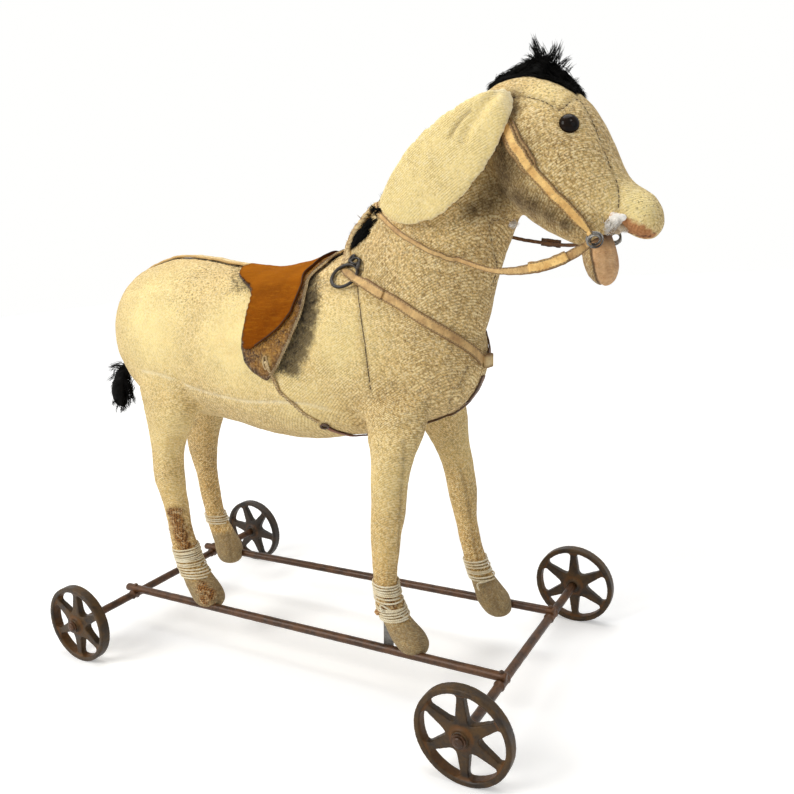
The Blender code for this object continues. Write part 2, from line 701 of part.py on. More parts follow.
def wheel_mesh(spoke_turn):
    """One cast wheel about Z, its outer face to +Z: rim, six spokes and a bored hub.
    The rim always has a flat side at the bottom, however its spokes are turned."""
    flat = math.cos(math.pi / WHEEL_SIDES)
    rim_out = WHEEL_RADIUS / flat
    rim_in = WHEEL_RADIUS - RIM_DEPTH
    half = RIM_WIDTH / 2
    rim = turned("wheel_rim", [(rim_out, half), (rim_out, -half), (rim_in, -half), (rim_in, half)], WHEEL_SIDES,
                 CASTING)
    half_side = math.pi / WHEEL_SIDES
    rim.data.transform(Matrix.Rotation(half_side, 4, "Z"))
    hub = turned("wheel_hub", [(0.0, HUB_OUTSIDE), (HUB_RADIUS, HUB_OUTSIDE), (HUB_RADIUS, -HUB_INSIDE),
                               (0.0, -HUB_INSIDE)], HUB_SIDES, CASTING)
    spokes = []
    reach = WHEEL_RADIUS - RIM_DEPTH
    for i in range(SPOKE_COUNT):
        turn = Matrix.Rotation(spoke_turn + 2 * math.pi * i / SPOKE_COUNT, 3, "Z")
        rings = []
        for along, width in ((HUB_RADIUS * SPOKE_ROOT_SHARE, SPOKE_WIDTH_HUB),
                             (reach * SPOKE_WAIST_SHARE, SPOKE_WIDTH_WAIST), (reach + SPOKE_SINK, SPOKE_WIDTH_RIM)):
            deep = SPOKE_THICKNESS / 2
            rings.append([turn @ Vector((along, s * width / 2, d * deep))
                          for s, d in ((1, 1), (-1, 1), (-1, -1), (1, -1))])
        spokes.append(skin("wheel_spoke_%d" % i, rings, CASTING))
    bore_radius = (STUB_RADIUS + RUNNING_CLEARANCE) / math.cos(math.pi / ROD_SIDES)
    bore = rod("wheel_bore", bore_radius, (0.0, 0.0, -HUB_INSIDE - OVERCUT), (0.0, 0.0, HUB_OUTSIDE + OVERCUT), None,
               CUTTERS)
    for piece in [hub] + spokes:
        join = rim.modifiers.new("join", "BOOLEAN")
        join.operation = "UNION"
        join.solver = "EXACT"
        join.object = piece
    cut(rim, bore)
    mesh = baked(rim, "cast_wheel")
    for piece in [rim, hub, bore] + spokes:
        bpy.data.objects.remove(piece, do_unlink=True)
    return mesh


def make_wheels():
    for end, x in AXLE_X.items():
        for side, sign in SIDES.items():
            mesh = wheel_mesh(-sign * math.radians(SPOKE_TURNS["%s_%s" % (end, side)]))
            wheel = add_object("%s_%s_wheel" % (end, side), mesh, None)
            lay_along_y(wheel, x, sign * TRACK / 2, WHEEL_RADIUS, sign)


def axle_profile():
    """Half of the axle from its headed end to its middle, as radius and distance from the middle."""
    shoulder = TRACK / 2 - HUB_INSIDE - END_PLAY
    head = TRACK / 2 + HUB_OUTSIDE + END_PLAY + WASHER_THICKNESS + SEAM_GAP
    end = head + AXLE_HEAD_LENGTH
    return [(AXLE_HEAD_RADIUS * HEAD_TOP_SHARE, end), (AXLE_HEAD_RADIUS, head + AXLE_HEAD_LENGTH * HEAD_EDGE_SHARE),
            (AXLE_HEAD_RADIUS, head), (STUB_RADIUS, head), (STUB_RADIUS, shoulder), (AXLE_RADIUS, shoulder)]


def make_axles():
    for end, x in AXLE_X.items():
        half = axle_profile()
        other = [(radius, -far) for radius, far in reversed(half)]
        profile = [(0.0, half[0][1])] + half + other + [(0.0, other[-1][1])]
        axle = turned("%s_axle" % end, profile, ROD_SIDES, RUST)
        lay_along_y(axle, x, 0.0, WHEEL_RADIUS)
        for side, sign in SIDES.items():
            top = TRACK / 2 + HUB_OUTSIDE + END_PLAY
            washer = turned("%s_%s_washer" % (end, side),
                            [(WASHER_RADIUS, top + WASHER_THICKNESS), (WASHER_RADIUS, top),
                             (STUB_RADIUS + RUNNING_CLEARANCE + SEAM_GAP, top),
                             (STUB_RADIUS + RUNNING_CLEARANCE + SEAM_GAP, top + WASHER_THICKNESS)],
                            ROD_SIDES, RUST)
            lay_along_y(washer, x, 0.0, WHEEL_RADIUS, sign)
            make_rail_rivet(end, side, x, sign, axle)


def make_rail_rivet(end, side, x, sign, axle):
    """A headed pin down through a rail and the axle under it."""
    top = RAIL_Z + RAIL_RADIUS
    bottom = WHEEL_RADIUS - AXLE_RADIUS
    place = Matrix.Translation((x, sign * RAIL_Y, 0.0))
    head_top = top + SEAM_GAP + RIVET_HEAD_HEIGHT
    head_bottom = bottom - SEAM_GAP - RIVET_HEAD_HEIGHT
    rivet = turned("%s_%s_rail_rivet" % (end, side),
                   [(0.0, head_top), (RIVET_HEAD_RADIUS * HEAD_TOP_SHARE, head_top),
                    (RIVET_HEAD_RADIUS, top + SEAM_GAP),
                    (RIVET_RADIUS, top + SEAM_GAP), (RIVET_RADIUS, bottom - SEAM_GAP),
                    (RIVET_HEAD_RADIUS, bottom - SEAM_GAP), (RIVET_HEAD_RADIUS * HEAD_TOP_SHARE, head_bottom),
                    (0.0, head_bottom)], RIVET_SIDES, RUST)
    rivet.matrix_basis = place
    hole = rod("%s_%s_rivet_hole" % (end, side), (RIVET_RADIUS + SEAM_GAP) / math.cos(math.pi / RIVET_SIDES),
               (x, sign * RAIL_Y, bottom - OVERCUT), (x, sign * RAIL_Y, top + OVERCUT), None, CUTTERS, RIVET_SIDES)
    as_cutter(hole)
    cut(axle, hole)
    cut(bpy.data.objects["%s_rail" % side], hole)


def make_rails():
    for side, sign in SIDES.items():
        rail = rod("%s_rail" % side, RAIL_RADIUS, (-WHEELBASE / 2 - RAIL_TAIL, sign * RAIL_Y, RAIL_Z),
                   (WHEELBASE / 2 + RAIL_NOSE, sign * RAIL_Y, RAIL_Z), RUST, bevel=RAIL_END_BEVEL)
        for end, x in AXLE_X.items():
            notch = rod("%s_%s_notch" % (side, end), (AXLE_RADIUS + SEAM_GAP) / math.cos(math.pi / ROD_SIDES),
                        (x, sign * RAIL_Y - OVERCUT, WHEEL_RADIUS), (x, sign * RAIL_Y + OVERCUT, WHEEL_RADIUS),
                        None, CUTTERS)
            as_cutter(notch)
            cut(rail, notch)


def make_body():
    """Torso, neck, head and jaw, each cut by the larger ones that it is sewn to."""
    torso = stuffed("torso", [(x, top, x, bottom, half, 0.0) for x, top, bottom, half in TORSO], CLOTH, 10)
    neck = stuffed("neck", [(*row, 0.0) for row in NECK], CLOTH, 8)
    head = stuffed("head", [(*row, 0.0) for row in HEAD], CLOTH, 8)
    jaw = stuffed("lower_jaw", [(*row, 0.0) for row in LOWER_JAW], FELT_PINK, 6)
    shells = {obj.name: allowance(obj) for obj in (torso, neck, head)}
    cut(neck, shells["torso"])
    cut(head, shells["neck"])
    cut(jaw, shells["head"])
    return {"torso": torso, "neck": neck, "head": head}, shells


def make_ears(shells):
    for side, sign in SIDES.items():
        rows = [(a, b, c, d, EAR_HALF_THICKNESS, sign * y) for a, b, c, d, y in EAR]
        rows.append((*EAR_TIP, EAR_HALF_THICKNESS / 2, sign * EAR[-1][4]))
        ear = stuffed("%s_ear" % side, rows, CLOTH, 6)
        cut(ear, shells["head"])
        cut(ear, shells["neck"])
        cut(ear, shells["torso"])


def leaned(name, x, high):
    """The x of a leg's point when the wheelbase isn't the measured one: the foot goes with its axle,
    and the leg's top row, in the torso, stays."""
    end = name.split("_")[0]
    root_height = LEGS[name][0][0]
    shift = AXLE_X[end] - math.copysign(MEASURED_AXLE_X, AXLE_X[end])
    return x + shift * max(1.0 - high / root_height, 0.0)


def splayed(name, out, high):
    """How far out a leg's point is when the rails aren't spaced as measured: the foot goes with its
    rail, and the leg's top row, in the torso, stays."""
    root_height = LEGS[name][0][0]
    return out + (RAIL_Y - MEASURED_RAIL_Y) * max(1.0 - high / root_height, 0.0)


def iron_path(name):
    sign = SIDES[name.split("_")[1]]
    spots = IRONS[name]
    bends = spots[2:2 + len(IRON_BENDS_OUT)]
    outs = [IRON_Y, IRON_Y] + [splayed(name, out, high) for (x, high), out in zip(bends, IRON_BENDS_OUT)]
    outs += [SPINE_SIDE_Y, SPINE_SIDE_Y]
    return [Vector((leaned(name, x, high), sign * out, RAIL_Z + high)) for (x, high), out in zip(spots, outs)]


def iron_strip(name, points, grow, finish, collection=TOY):
    """A flat iron through the points, its width along X, wider and thicker by the gap where it cuts."""
    rings = []
    for i, point in enumerate(points):
        along = (points[min(i + 1, len(points) - 1)] - points[max(i - 1, 0)]).normalized()
        across = (Vector((1.0, 0.0, 0.0)) - along * along.x).normalized()
        deep = along.cross(across) * (IRON_THICKNESS / 2 + grow)
        half = across * (IRON_WIDTH / 2 + grow)
        rings.append([point + half + deep, point - half + deep, point - half - deep, point + half - deep])
    return skin(name, rings, finish, collection)


def make_legs(shells, torso):
    """Legs with their irons. The irons run from the rails up to the spine inside the torso."""
    spine_size = ((SPINE_FRONT - SPINE_REAR), SPINE_THICKNESS, SPINE_HEIGHT)
    spine_place = ((SPINE_FRONT + SPINE_REAR) / 2, 0.0, RAIL_Z + SPINE_LEVEL)
    box("spine_iron", spine_size, spine_place, RUST)
    room = [size + 2 * SEAM_GAP for size in spine_size]
    cut(torso, as_cutter(box("spine_channel", room, spine_place, None)))
    legs = {}
    for name, rows in LEGS.items():
        sign = SIDES[name.split("_")[1]]
        table = [(leaned(name, x, high) - a, high, leaned(name, x, high) + a, high, b,
                  sign * splayed(name, y, high)) for high, x, a, b, y in rows]
        leg = stuffed(name + "_leg", table, CLOTH, 6)
        legs[name] = leg
        points = iron_path(name)
        iron_strip(name + "_iron", points, 0.0, RUST)
        below = points[0] - Vector((0.0, 0.0, CHANNEL_DROP))
        above = points[-1] + Vector((0.0, 0.0, SEAM_GAP))
        channel = iron_strip(name + "_channel", [below] + points[:-1] + [above], SEAM_GAP, None)
        as_cutter(channel)
        cut(leg, shells["torso"])
        cut(leg, channel)
        cut(torso, channel)
        side = name.split("_")[1]
        cut(leg, rail_room(side, sign))
    return legs


def rail_room(side, sign):
    name = side + "_rail_room"
    if name in bpy.data.objects:
        return bpy.data.objects[name]
    room = rod(name, (RAIL_RADIUS + SEAM_GAP) / math.cos(math.pi / ROD_SIDES),
               (-WHEELBASE / 2 - RAIL_TAIL, sign * RAIL_Y, RAIL_Z),
               (WHEELBASE / 2 + RAIL_TAIL, sign * RAIL_Y, RAIL_Z),
               None, CUTTERS)
    return as_cutter(room)


def box(name, size, place, finish):
    work = bmesh.new()
    bmesh.ops.create_cube(work, size=1.0)
    work.transform(Matrix.Translation(place) @ Matrix.Diagonal((*size, 1.0)))
    return add_object(name, mesh_of(work, name, smooth=False), finish)


def leg_centre(name, high):
    """The leg's centre line at a height, and the slope of that line."""
    sign = SIDES[name.split("_")[1]]
    rows = sorted(LEGS[name])
    heights = [row[0] for row in rows]
    along = [leaned(name, row[1], row[0]) for row in rows]
    x = np.interp(high, heights, along)
    y = np.interp(high, heights, [splayed(name, row[4], row[0]) for row in rows])
    slope = (np.interp(high + SLOPE_STEP, heights, along)
             - np.interp(high - SLOPE_STEP, heights, along)) / (2 * SLOPE_STEP)
    return Vector((x, sign * y, RAIL_Z + high)), slope


def make_bindings(legs):
    """String wound round each ankle, square to the leg's own slope, one unbroken tube each."""
    for name, (top, bottom, turns) in BINDINGS.items():
        tree = tree_of(legs[name])
        count = turns * STRING_POINTS_PER_TURN
        points = []
        for i in range(count + 1):
            high = top + (bottom - top) * i / count
            centre, slope = leg_centre(name, high)
            turn = 2 * math.pi * i / STRING_POINTS_PER_TURN
            way = Vector((math.cos(turn), math.sin(turn), -slope * math.cos(turn))).normalized()
            hit = tree.ray_cast(centre + way * CLEAR_OF_LEG, -way)[0]
            points.append(hit + way * (STRING_RADIUS + WINDING_GAP))
        tube_curve(name + "_binding", points, STRING_RADIUS, STRING, bevel_resolution=0)
        print(name, "binding: least gap to itself %.2f mm" % (1000 * least_gap(points, 2 * STRING_RADIUS)))


def least_gap(points, diameter):
    """The smallest clear space between strands of a wound tube that lie half a turn or more apart."""
    spots = np.array([tuple(point) for point in points])
    apart = np.linalg.norm(spots[:, None] - spots[None], axis=2)
    far = np.abs(np.subtract.outer(np.arange(len(spots)), np.arange(len(spots))))
    return apart[far >= STRING_POINTS_PER_TURN // 2].min() - diameter


def make_eyes(trees, shells):
    for side, sign in SIDES.items():
        place, out = seated(EYE_PLACE if sign < 0 else mirrored(EYE_PLACE), trees)
        work = bmesh.new()
        bmesh.ops.create_uvsphere(work, u_segments=EYE_SIDES, v_segments=EYE_RINGS, radius=1.0)
        turn = out.to_track_quat("Z", "Y").to_matrix().to_4x4()
        size = Matrix.Diagonal((EYE_RADIUS, EYE_RADIUS, EYE_DEPTH, 1.0))
        work.transform(Matrix.Translation(place) @ turn @ size)
        eye = add_object("%s_eye" % side, mesh_of(work, "%s_eye" % side), GLASS)
        cut(eye, shells["head"])


def make_hair(shells):
    tufts = [("forelock", FORELOCK, ["head", "neck"]), ("neck_mane", NECK_MANE, ["neck", "torso"]),
             ("tail", TAIL, ["torso"])]
    for name, rows, cutters in tufts:
        hair = stuffed(name, rows, HAIR, 6)
        for cutter in cutters:
            cut(hair, shells[cutter])


def on_barrel(x, degrees, tree):
    """The cloth of the barrel at an angle from straight up, positive to the right."""
    turn = math.radians(degrees)
    way = Vector((0.0, -math.sin(turn), math.cos(turn)))
    centre = Vector((x, 0.0, RAIL_Z + BARREL_AXIS))
    return tree.ray_cast(centre + way * CLEAR_OF_BARREL, -way)[0], way


def draped(name, rows, tree, lift, thickness, finish):
    """A sheet on the barrel between a rear and a front edge that change with the angle."""
    rings = []
    for degrees, rear, front in rows:
        under = []
        over = []
        for i in range(SADDLE_COLUMNS + 1):
            spot, way = on_barrel(rear + (front - rear) * i / SADDLE_COLUMNS, degrees, tree)
            under.append(spot + way * lift)
            over.append(spot + way * (lift + thickness))
        rings.append(under + over[::-1])
    return skin(name, rings, finish)


def both_sides(rows):
    """Rows of the right side, continued over the back to the left side."""
    return [(-degrees, rear, front) for degrees, rear, front in rows[:0:-1]] + rows


def make_saddle(tree, shells):
    """A leather base that hangs down as a skirt on each side, with the felt seat on top of it."""
    skirt = draped("saddle_skirt", both_sides(SKIRT), tree, SADDLE_LIFT, SKIRT_THICKNESS, SKIRT_LEATHER)
    cut(skirt, shells["torso"])
    felt_lift = SADDLE_LIFT + SKIRT_THICKNESS + FELT_LIFT
    draped("saddle_seat", both_sides(FELT), tree, felt_lift, FELT_THICKNESS, FELT_BROWN)


def ring_place(trees):
    """Centre and outward direction of the right harness ring, clear of the strap that passes under it."""
    place, out = seated(RING_PLACE, trees)
    lift = SHEET_GAP + STRAP_THICKNESS + LOOP_GAP + HARNESS_WIRE_RADIUS
    return place + out * lift, out


def flip(vector, sign):
    """A place or direction of the right side, moved to the side with the given sign."""
    return Vector((vector.x, -sign * vector.y, vector.z))


def flip_path(path, sign):
    return [(flip(centre, sign), flip(side, sign)) for centre, side in path]


def ring(name, centre, outward, ring_radius, wire_radius, finish, sides):
    across = outward.orthogonal().normalized()
    other = outward.cross(across)
    points = []
    for i in range(sides):
        turn = 2 * math.pi * i / sides
        points.append(centre + across * (ring_radius * math.cos(turn)) + other * (ring_radius * math.sin(turn)))
    curve = tube_curve(name, [point - centre for point in points], wire_radius, finish, cyclic=True)
    curve.location = centre
    return curve


def make_harness(trees, shells):
    body = [trees["torso"], trees["neck"]]
    centre, out = ring_place([trees["torso"]])
    place, chest_out = seated(KEEPER_PLACE, [trees["torso"]])
    keeper = box("breast_keeper", KEEPER_SIZE, place + chest_out * (KEEPER_SIZE[0] / 2 + SHEET_GAP), TAN_LEATHER)
    keeper_shell = allowance(keeper)
    breast = strap_path(BREAST_ROUTE, body, BREAST_STRAP_WIDTH)
    towards = breast[1][0] - centre
    loop, _ = ring_loop(centre, out, towards, HARNESS_RING_RADIUS, HARNESS_WIRE_RADIUS)
    over = strap_path(BREAST_ROUTE[:3], body, BREAST_STRAP_WIDTH, layer=1)
    breast_path = facing(over[1::-1] + loop + breast)
    breast_widths = tapered(breast_path, loop, BREAST_STRAP_WIDTH, HARNESS_LOOP_WIDTH)
    tie = strap_path(TIE_ROUTE + [mirrored(point) for point in TIE_ROUTE[-2::-1]], body, TIE_WIDTH)
    tie_loop, _ = ring_loop(centre, out, tie[1][0] - centre, HARNESS_RING_RADIUS, HARNESS_WIRE_RADIUS)
    tie_path = facing(tie_loop + tie + flip_path(tie_loop, 1.0)[::-1])
    tie_strap = strap("withers_tie", tie_path, [TIE_WIDTH] * len(tie_path), PALE_LEATHER)
    for name in ("torso", "neck"):
        cut(tie_strap, shells[name])
    cut(bpy.data.objects["neck_mane"], allowance(tie_strap))
    for side_name, sign in SIDES.items():
        breast_strap = strap("%s_breast_strap" % side_name, flip_path(breast_path, sign), breast_widths, TAN_LEATHER)
        cut(breast_strap, keeper_shell)
        for name in ("torso", "neck"):
            cut(breast_strap, shells[name])
        ring("%s_harness_ring" % side_name, flip(centre, sign), flip(out, sign), HARNESS_RING_RADIUS,
             HARNESS_WIRE_RADIUS, WIRE, HARNESS_RING_SIDES)
    martingale = strap("martingale_strap", strap_path(MARTINGALE_ROUTE, [trees["torso"]], MARTINGALE_WIDTH),
                       [MARTINGALE_WIDTH] * len(MARTINGALE_ROUTE), TAN_LEATHER)
    cut(martingale, shells["torso"])
    crupper = strap("crupper_strap", strap_path(CRUPPER_ROUTE, [trees["torso"]], CRUPPER_WIDTH),
                    [CRUPPER_WIDTH] * len(CRUPPER_ROUTE), PALE_LEATHER)
    cut(crupper, shells["torso"])
    half = [seated(point, [trees["torso"]]) for point in GIRTH_ROUTE]
    right = [place + out * (GIRTH_RADIUS + SHEET_GAP) for place, out in half]
    girth = tube_curve("girth", right + [flip(point, 1.0) for point in right[-2::-1]], GIRTH_RADIUS, TAN_LEATHER)
    girth = to_mesh_object(girth, TAN_LEATHER)
    cut(girth, shells["torso"])


def make_bridle(trees, shells):
    centre = Vector((BIT_PLACE[0], BIT_PLACE[1], RAIL_Z + BIT_PLACE[2]))
    out = Vector((0.0, -1.0, 0.0))
    cheek = strap_path(CHEEK_ROUTE, [trees["head"], trees["neck"]], CHEEK_FOLD_WIDTH)
    cheek_loop, _ = ring_loop(centre, out, cheek[-1][0] - centre, BIT_RING_RADIUS, BIT_WIRE_RADIUS)
    cheek_path = facing(cheek + cheek_loop[::-1])
    cheek_widths = tapered(cheek_path, cheek_loop, CHEEK_STRAP_WIDTH, BIT_LOOP_WIDTH)
    cheek_widths[:CHEEK_FOLD_STATIONS] = [CHEEK_FOLD_WIDTH] * CHEEK_FOLD_STATIONS
    for side_name, sign in SIDES.items():
        cheek_strap = strap("%s_cheek_strap" % side_name, flip_path(cheek_path, sign), cheek_widths, TAN_LEATHER)
        free = [Vector((x, y, RAIL_Z + high)) for x, y, high in REINS[side_name][0]]
        rein_loop, rein_side = ring_loop(centre, out, free[0] - centre, BIT_RING_RADIUS, BIT_WIRE_RADIUS)
        laid = strap_path(REINS[side_name][1], [trees["neck"], trees["torso"]], REIN_WIDTH)
        rein_path = facing(rein_loop + [(point, rein_side) for point in free] + laid)
        rein_widths = tapered(rein_path, rein_loop, REIN_WIDTH, BIT_LOOP_WIDTH)
        rein = strap("%s_rein" % side_name, flip_path(rein_path, sign), rein_widths, TAN_LEATHER)
        for name in ("head", "neck"):
            cut(cheek_strap, shells[name])
        for name in ("neck", "torso"):
            cut(rein, shells[name])
        ring("%s_bit_ring" % side_name, flip(centre, sign), flip(out, sign), BIT_RING_RADIUS, BIT_WIRE_RADIUS,
             WIRE, BIT_RING_SIDES)


make_rails()
make_axles()
make_wheels()
BODIES, SHELLS = make_body()
make_ears(SHELLS)
LEG_OBJECTS = make_legs(SHELLS, BODIES["torso"])
make_bindings(LEG_OBJECTS)
TREES = {name: tree_of(obj) for name, obj in BODIES.items()}
make_eyes([TREES["head"]], SHELLS)
make_hair(SHELLS)
make_saddle(TREES["torso"], SHELLS)
make_harness(TREES, SHELLS)
make_bridle(TREES, SHELLS)
bpy.context.view_layer.update()
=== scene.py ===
# %% [markdown]
# # A stuffed donkey on wheels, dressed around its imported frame
# The real toy is a straw-filled cloth animal that stands on two iron rods between four cast wheels.
# Its solids come ready packed, in metres, and this lesson gives them their cloth, leather, hair and rust.
# Everything is made in place: each finished piece sits at the origin, and its place is in its mesh.

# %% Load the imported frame
import math
import random

import bmesh
import bpy
import numpy as np
from mathutils import Matrix, Vector
from mathutils.bvhtree import BVHTree
from mathutils.kdtree import KDTree
from mathutils.noise import noise as noise_at


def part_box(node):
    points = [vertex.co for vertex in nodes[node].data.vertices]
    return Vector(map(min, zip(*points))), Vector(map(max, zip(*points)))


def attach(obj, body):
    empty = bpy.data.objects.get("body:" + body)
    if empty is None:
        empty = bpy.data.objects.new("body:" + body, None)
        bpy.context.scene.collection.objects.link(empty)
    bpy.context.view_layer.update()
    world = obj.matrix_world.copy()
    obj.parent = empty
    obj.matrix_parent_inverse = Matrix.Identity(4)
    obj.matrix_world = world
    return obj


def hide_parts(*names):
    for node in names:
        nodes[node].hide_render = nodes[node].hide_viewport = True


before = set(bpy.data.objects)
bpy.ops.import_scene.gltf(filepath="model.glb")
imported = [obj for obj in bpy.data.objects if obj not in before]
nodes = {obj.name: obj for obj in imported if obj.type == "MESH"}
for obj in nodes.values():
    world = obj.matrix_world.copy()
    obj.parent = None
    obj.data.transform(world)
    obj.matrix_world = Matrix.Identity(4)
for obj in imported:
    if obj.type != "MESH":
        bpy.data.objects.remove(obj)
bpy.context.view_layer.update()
scene = bpy.context.scene
BODY = "toy"

# %% [markdown]
# ## The camera
# The photograph was taken from the front right of the toy, a little above its back.
# The wheels and axles give enough straight lines to solve the camera, so its place and its
# three directions are written here as numbers, and pixels of the photograph can be used as places.

# %% Camera
PHOTO_SIZE = 794
FOCAL_PIXELS = 758.2257
SENSOR_WIDTH = 36.0
EYE_POINT = Vector((0.41659, -0.58172, 0.39891))
SIGHT_RIGHT = Vector((0.86389279, 0.49901948, -0.0683286))
SIGHT_UP = Vector((-0.04109997, 0.20504951, 0.97788828))
SIGHT_BACK = Vector((0.50199605, -0.84198233, 0.19765048))

lens = bpy.data.cameras.new("photo_camera")
lens.sensor_width = SENSOR_WIDTH
lens.lens = FOCAL_PIXELS / PHOTO_SIZE * SENSOR_WIDTH
lens.clip_start = 0.02
camera = bpy.data.objects.new("photo_camera", lens)
turn = Matrix((SIGHT_RIGHT, SIGHT_UP, SIGHT_BACK)).transposed()
camera.matrix_world = Matrix.Translation(EYE_POINT) @ turn.to_4x4()
scene.collection.objects.link(camera)
scene.camera = camera


def sight_line(pixel):
    """The direction from the camera through a pixel of the photograph."""
    across = (pixel[0] - PHOTO_SIZE / 2) / FOCAL_PIXELS
    up = (PHOTO_SIZE / 2 - pixel[1]) / FOCAL_PIXELS
    return (SIGHT_RIGHT * across + SIGHT_UP * up - SIGHT_BACK).normalized()


print("lens:", round(lens.lens, 3), "mm")

# %% [markdown]
# ## Nodes for finishes
# Every finish below is a small graph of nodes, so a few helpers keep them short: one adds a node and
# wires what it is given, and the others are the nodes that come back again and again.

# %% Helpers for finishes


class Signal:
    """A value that a node tree works out at every point. Signals add and multiply like numbers."""

    def __init__(self, socket):
        self.socket = socket
        self.tree = socket.id_data

    def __add__(self, other):
        return calc("ADD", self, other)

    def __sub__(self, other):
        return calc("SUBTRACT", self, other)

    def __rsub__(self, other):
        return calc("SUBTRACT", other, self)

    def __mul__(self, other):
        return calc("MULTIPLY", self, other)

    def __truediv__(self, other):
        return calc("DIVIDE", self, other)

    def __abs__(self):
        return calc("ABSOLUTE", self)


def plug(tree, value, entry):
    """Wires a signal or a socket to an input, or writes a plain value into it."""
    value = getattr(value, "socket", value)
    if isinstance(value, bpy.types.NodeSocket):
        tree.links.new(value, entry)
    else:
        entry.default_value = value


def add_node(tree, kind, wires=None, **settings):
    """A node with its settings; wires maps an input to a signal or to a plain value."""
    made = tree.nodes.new(kind)
    for key, value in settings.items():
        setattr(made, key, value)
    for key, value in (wires or {}).items():
        plug(tree, value, made.inputs[key])
    return made


def calc(operation, one, two=0.0, clamp=False):
    tree = (one if isinstance(one, Signal) else two).tree
    node = add_node(tree, "ShaderNodeMath", {0: one, 1: two}, operation=operation, use_clamp=clamp)
    return Signal(node.outputs[0])


def mixed(share, one, two):
    """The first colour where the share is 0, and the second where it is 1."""
    tree = (share if isinstance(share, Signal) else one).tree
    node = add_node(tree, "ShaderNodeMix", data_type="RGBA")
    for key, value in (("Factor", share), ("A", one), ("B", two)):
        plug(tree, value,
             next(s for s in node.inputs if s.name == key and (s.type == "RGBA") == (key != "Factor")))
    return Signal(next(s for s in node.outputs if s.type == "RGBA"))


def noise(place, scale, detail=3.0, roughness=0.5, distortion=0.0):
    wires = {"Vector": place, "Scale": scale, "Detail": detail, "Roughness": roughness,
             "Distortion": distortion}
    return Signal(add_node(place.tree, "ShaderNodeTexNoise", wires).outputs["Fac"])


def spread(value, low, high, to_low=0.0, to_high=1.0):
    """Stretches a range of values to another, and cuts off what is outside."""
    wires = {"Value": value, 1: low, 2: high, 3: to_low, 4: to_high}
    return Signal(add_node(value.tree, "ShaderNodeMapRange", wires, clamp=True).outputs[0])


def stored(place, name):
    """A number that is stored on the points of the mesh."""
    return Signal(add_node(place.tree, "ShaderNodeAttribute", attribute_name=name).outputs["Fac"])


def axes_of(place):
    """The three coordinates of a place as signals."""
    return [Signal(way) for way in add_node(place.tree, "ShaderNodeSeparateXYZ", {0: place}).outputs]


def place_from(x, y, z):
    return Signal(add_node(x.tree, "ShaderNodeCombineXYZ", {0: x, 1: y, 2: z}).outputs[0])


def colour(red, green, blue):
    return (red, green, blue, 1)


def start_finish(name, roughness, **numbers):
    """A new material, its shader and the object's own coordinates as a signal."""
    finish = bpy.data.materials.new(name)
    finish.use_nodes = True
    shader = finish.node_tree.nodes["Principled BSDF"]
    for key, value in {"Roughness": roughness, **numbers}.items():
        shader.inputs[key.replace("_", " ")].default_value = value
    return finish, shader, Signal(add_node(finish.node_tree, "ShaderNodeTexCoord").outputs["Object"])


def relief(shader, height, distance, strength=1.0):
    """Bump from a height, given the real depth in metres."""
    wires = {"Height": height, "Distance": distance, "Strength": strength}
    plug(height.tree, add_node(height.tree, "ShaderNodeBump", wires).outputs["Normal"],
         shader.inputs["Normal"])


def paint(shader, value, entry="Base Color"):
    plug(value.tree, value, shader.inputs[entry])


def two_toned(name, roughness, cloud, limits, dark, light, bump=None, **numbers):
    """A finish of two colours in patches. The cloud is the size, detail and roughness of its noise."""
    finish, shader, place = start_finish(name, roughness, **numbers)
    tint = noise(place, *cloud)
    paint(shader, mixed(spread(tint, *limits), colour(*dark), colour(*light)))
    if bump:
        relief(shader, tint, bump)
    return finish, shader, place, tint


# %% [markdown]
# ## Floor, backdrop and light
# The photograph shows the toy on white paper in soft light that comes from its rear and from above.
# A white floor could be had with strong lamps, but they would burn out the pale cloth. So the lamps
# stay at a plain level, and the floor and the world are white for the camera and in reflections only.

# %% Floor and world
FLOOR_HALF = 6.0
GLOW_REACH = (0.45, 1.6)
GLOW_STRENGTH = (0.345, 0.75)
WHITE = colour(1, 1, 0.99)


def seen_directly(tree):
    """1 for what the camera sees straight, in a mirror or through glass, and 0 for lighting rays."""
    rays = ["Is " + kind + " Ray" for kind in ("Camera", "Glossy", "Transmission")]
    camera_ray, glossy_ray, clear_ray = [Signal(add_node(tree, "ShaderNodeLightPath").outputs[ray])
                                         for ray in rays]
    return calc("MAXIMUM", calc("MAXIMUM", camera_ray, glossy_ray), clear_ray)


bpy.ops.mesh.primitive_plane_add(size=2 * FLOOR_HALF, location=(0, 0, 0))
floor = bpy.context.active_object
floor.name = "paper_floor"
paper, shader, place = start_finish("white_paper", 0.9, Specular_IOR_Level=0.1)
paint(shader, mixed(noise(place, 1.6, 2), colour(0.86, 0.865, 0.865), colour(0.88, 0.88, 0.87)))
tree = place.tree
far = Signal(add_node(tree, "ShaderNodeVectorMath", {0: place}, operation="LENGTH").outputs["Value"])
strength = seen_directly(tree) * spread(spread(far, *GLOW_REACH), 0, 1, *GLOW_STRENGTH)
glow = add_node(tree, "ShaderNodeEmission", {"Color": WHITE, "Strength": strength})
both = add_node(tree, "ShaderNodeAddShader", {0: shader.outputs[0], 1: glow.outputs[0]})
tree.links.new(both.outputs[0], tree.nodes["Material Output"].inputs["Surface"])
floor.data.materials.append(paper)

world = bpy.data.worlds.new("white_studio")
scene.world = world
world.use_nodes = True
tree = world.node_tree
plug(tree, mixed(seen_directly(tree), colour(0.27, 0.27, 0.28), WHITE),
     tree.nodes["Background"].inputs["Color"])
scene.view_settings.view_transform = "Standard"
print("floor:", 2 * FLOOR_HALF, "m wide")

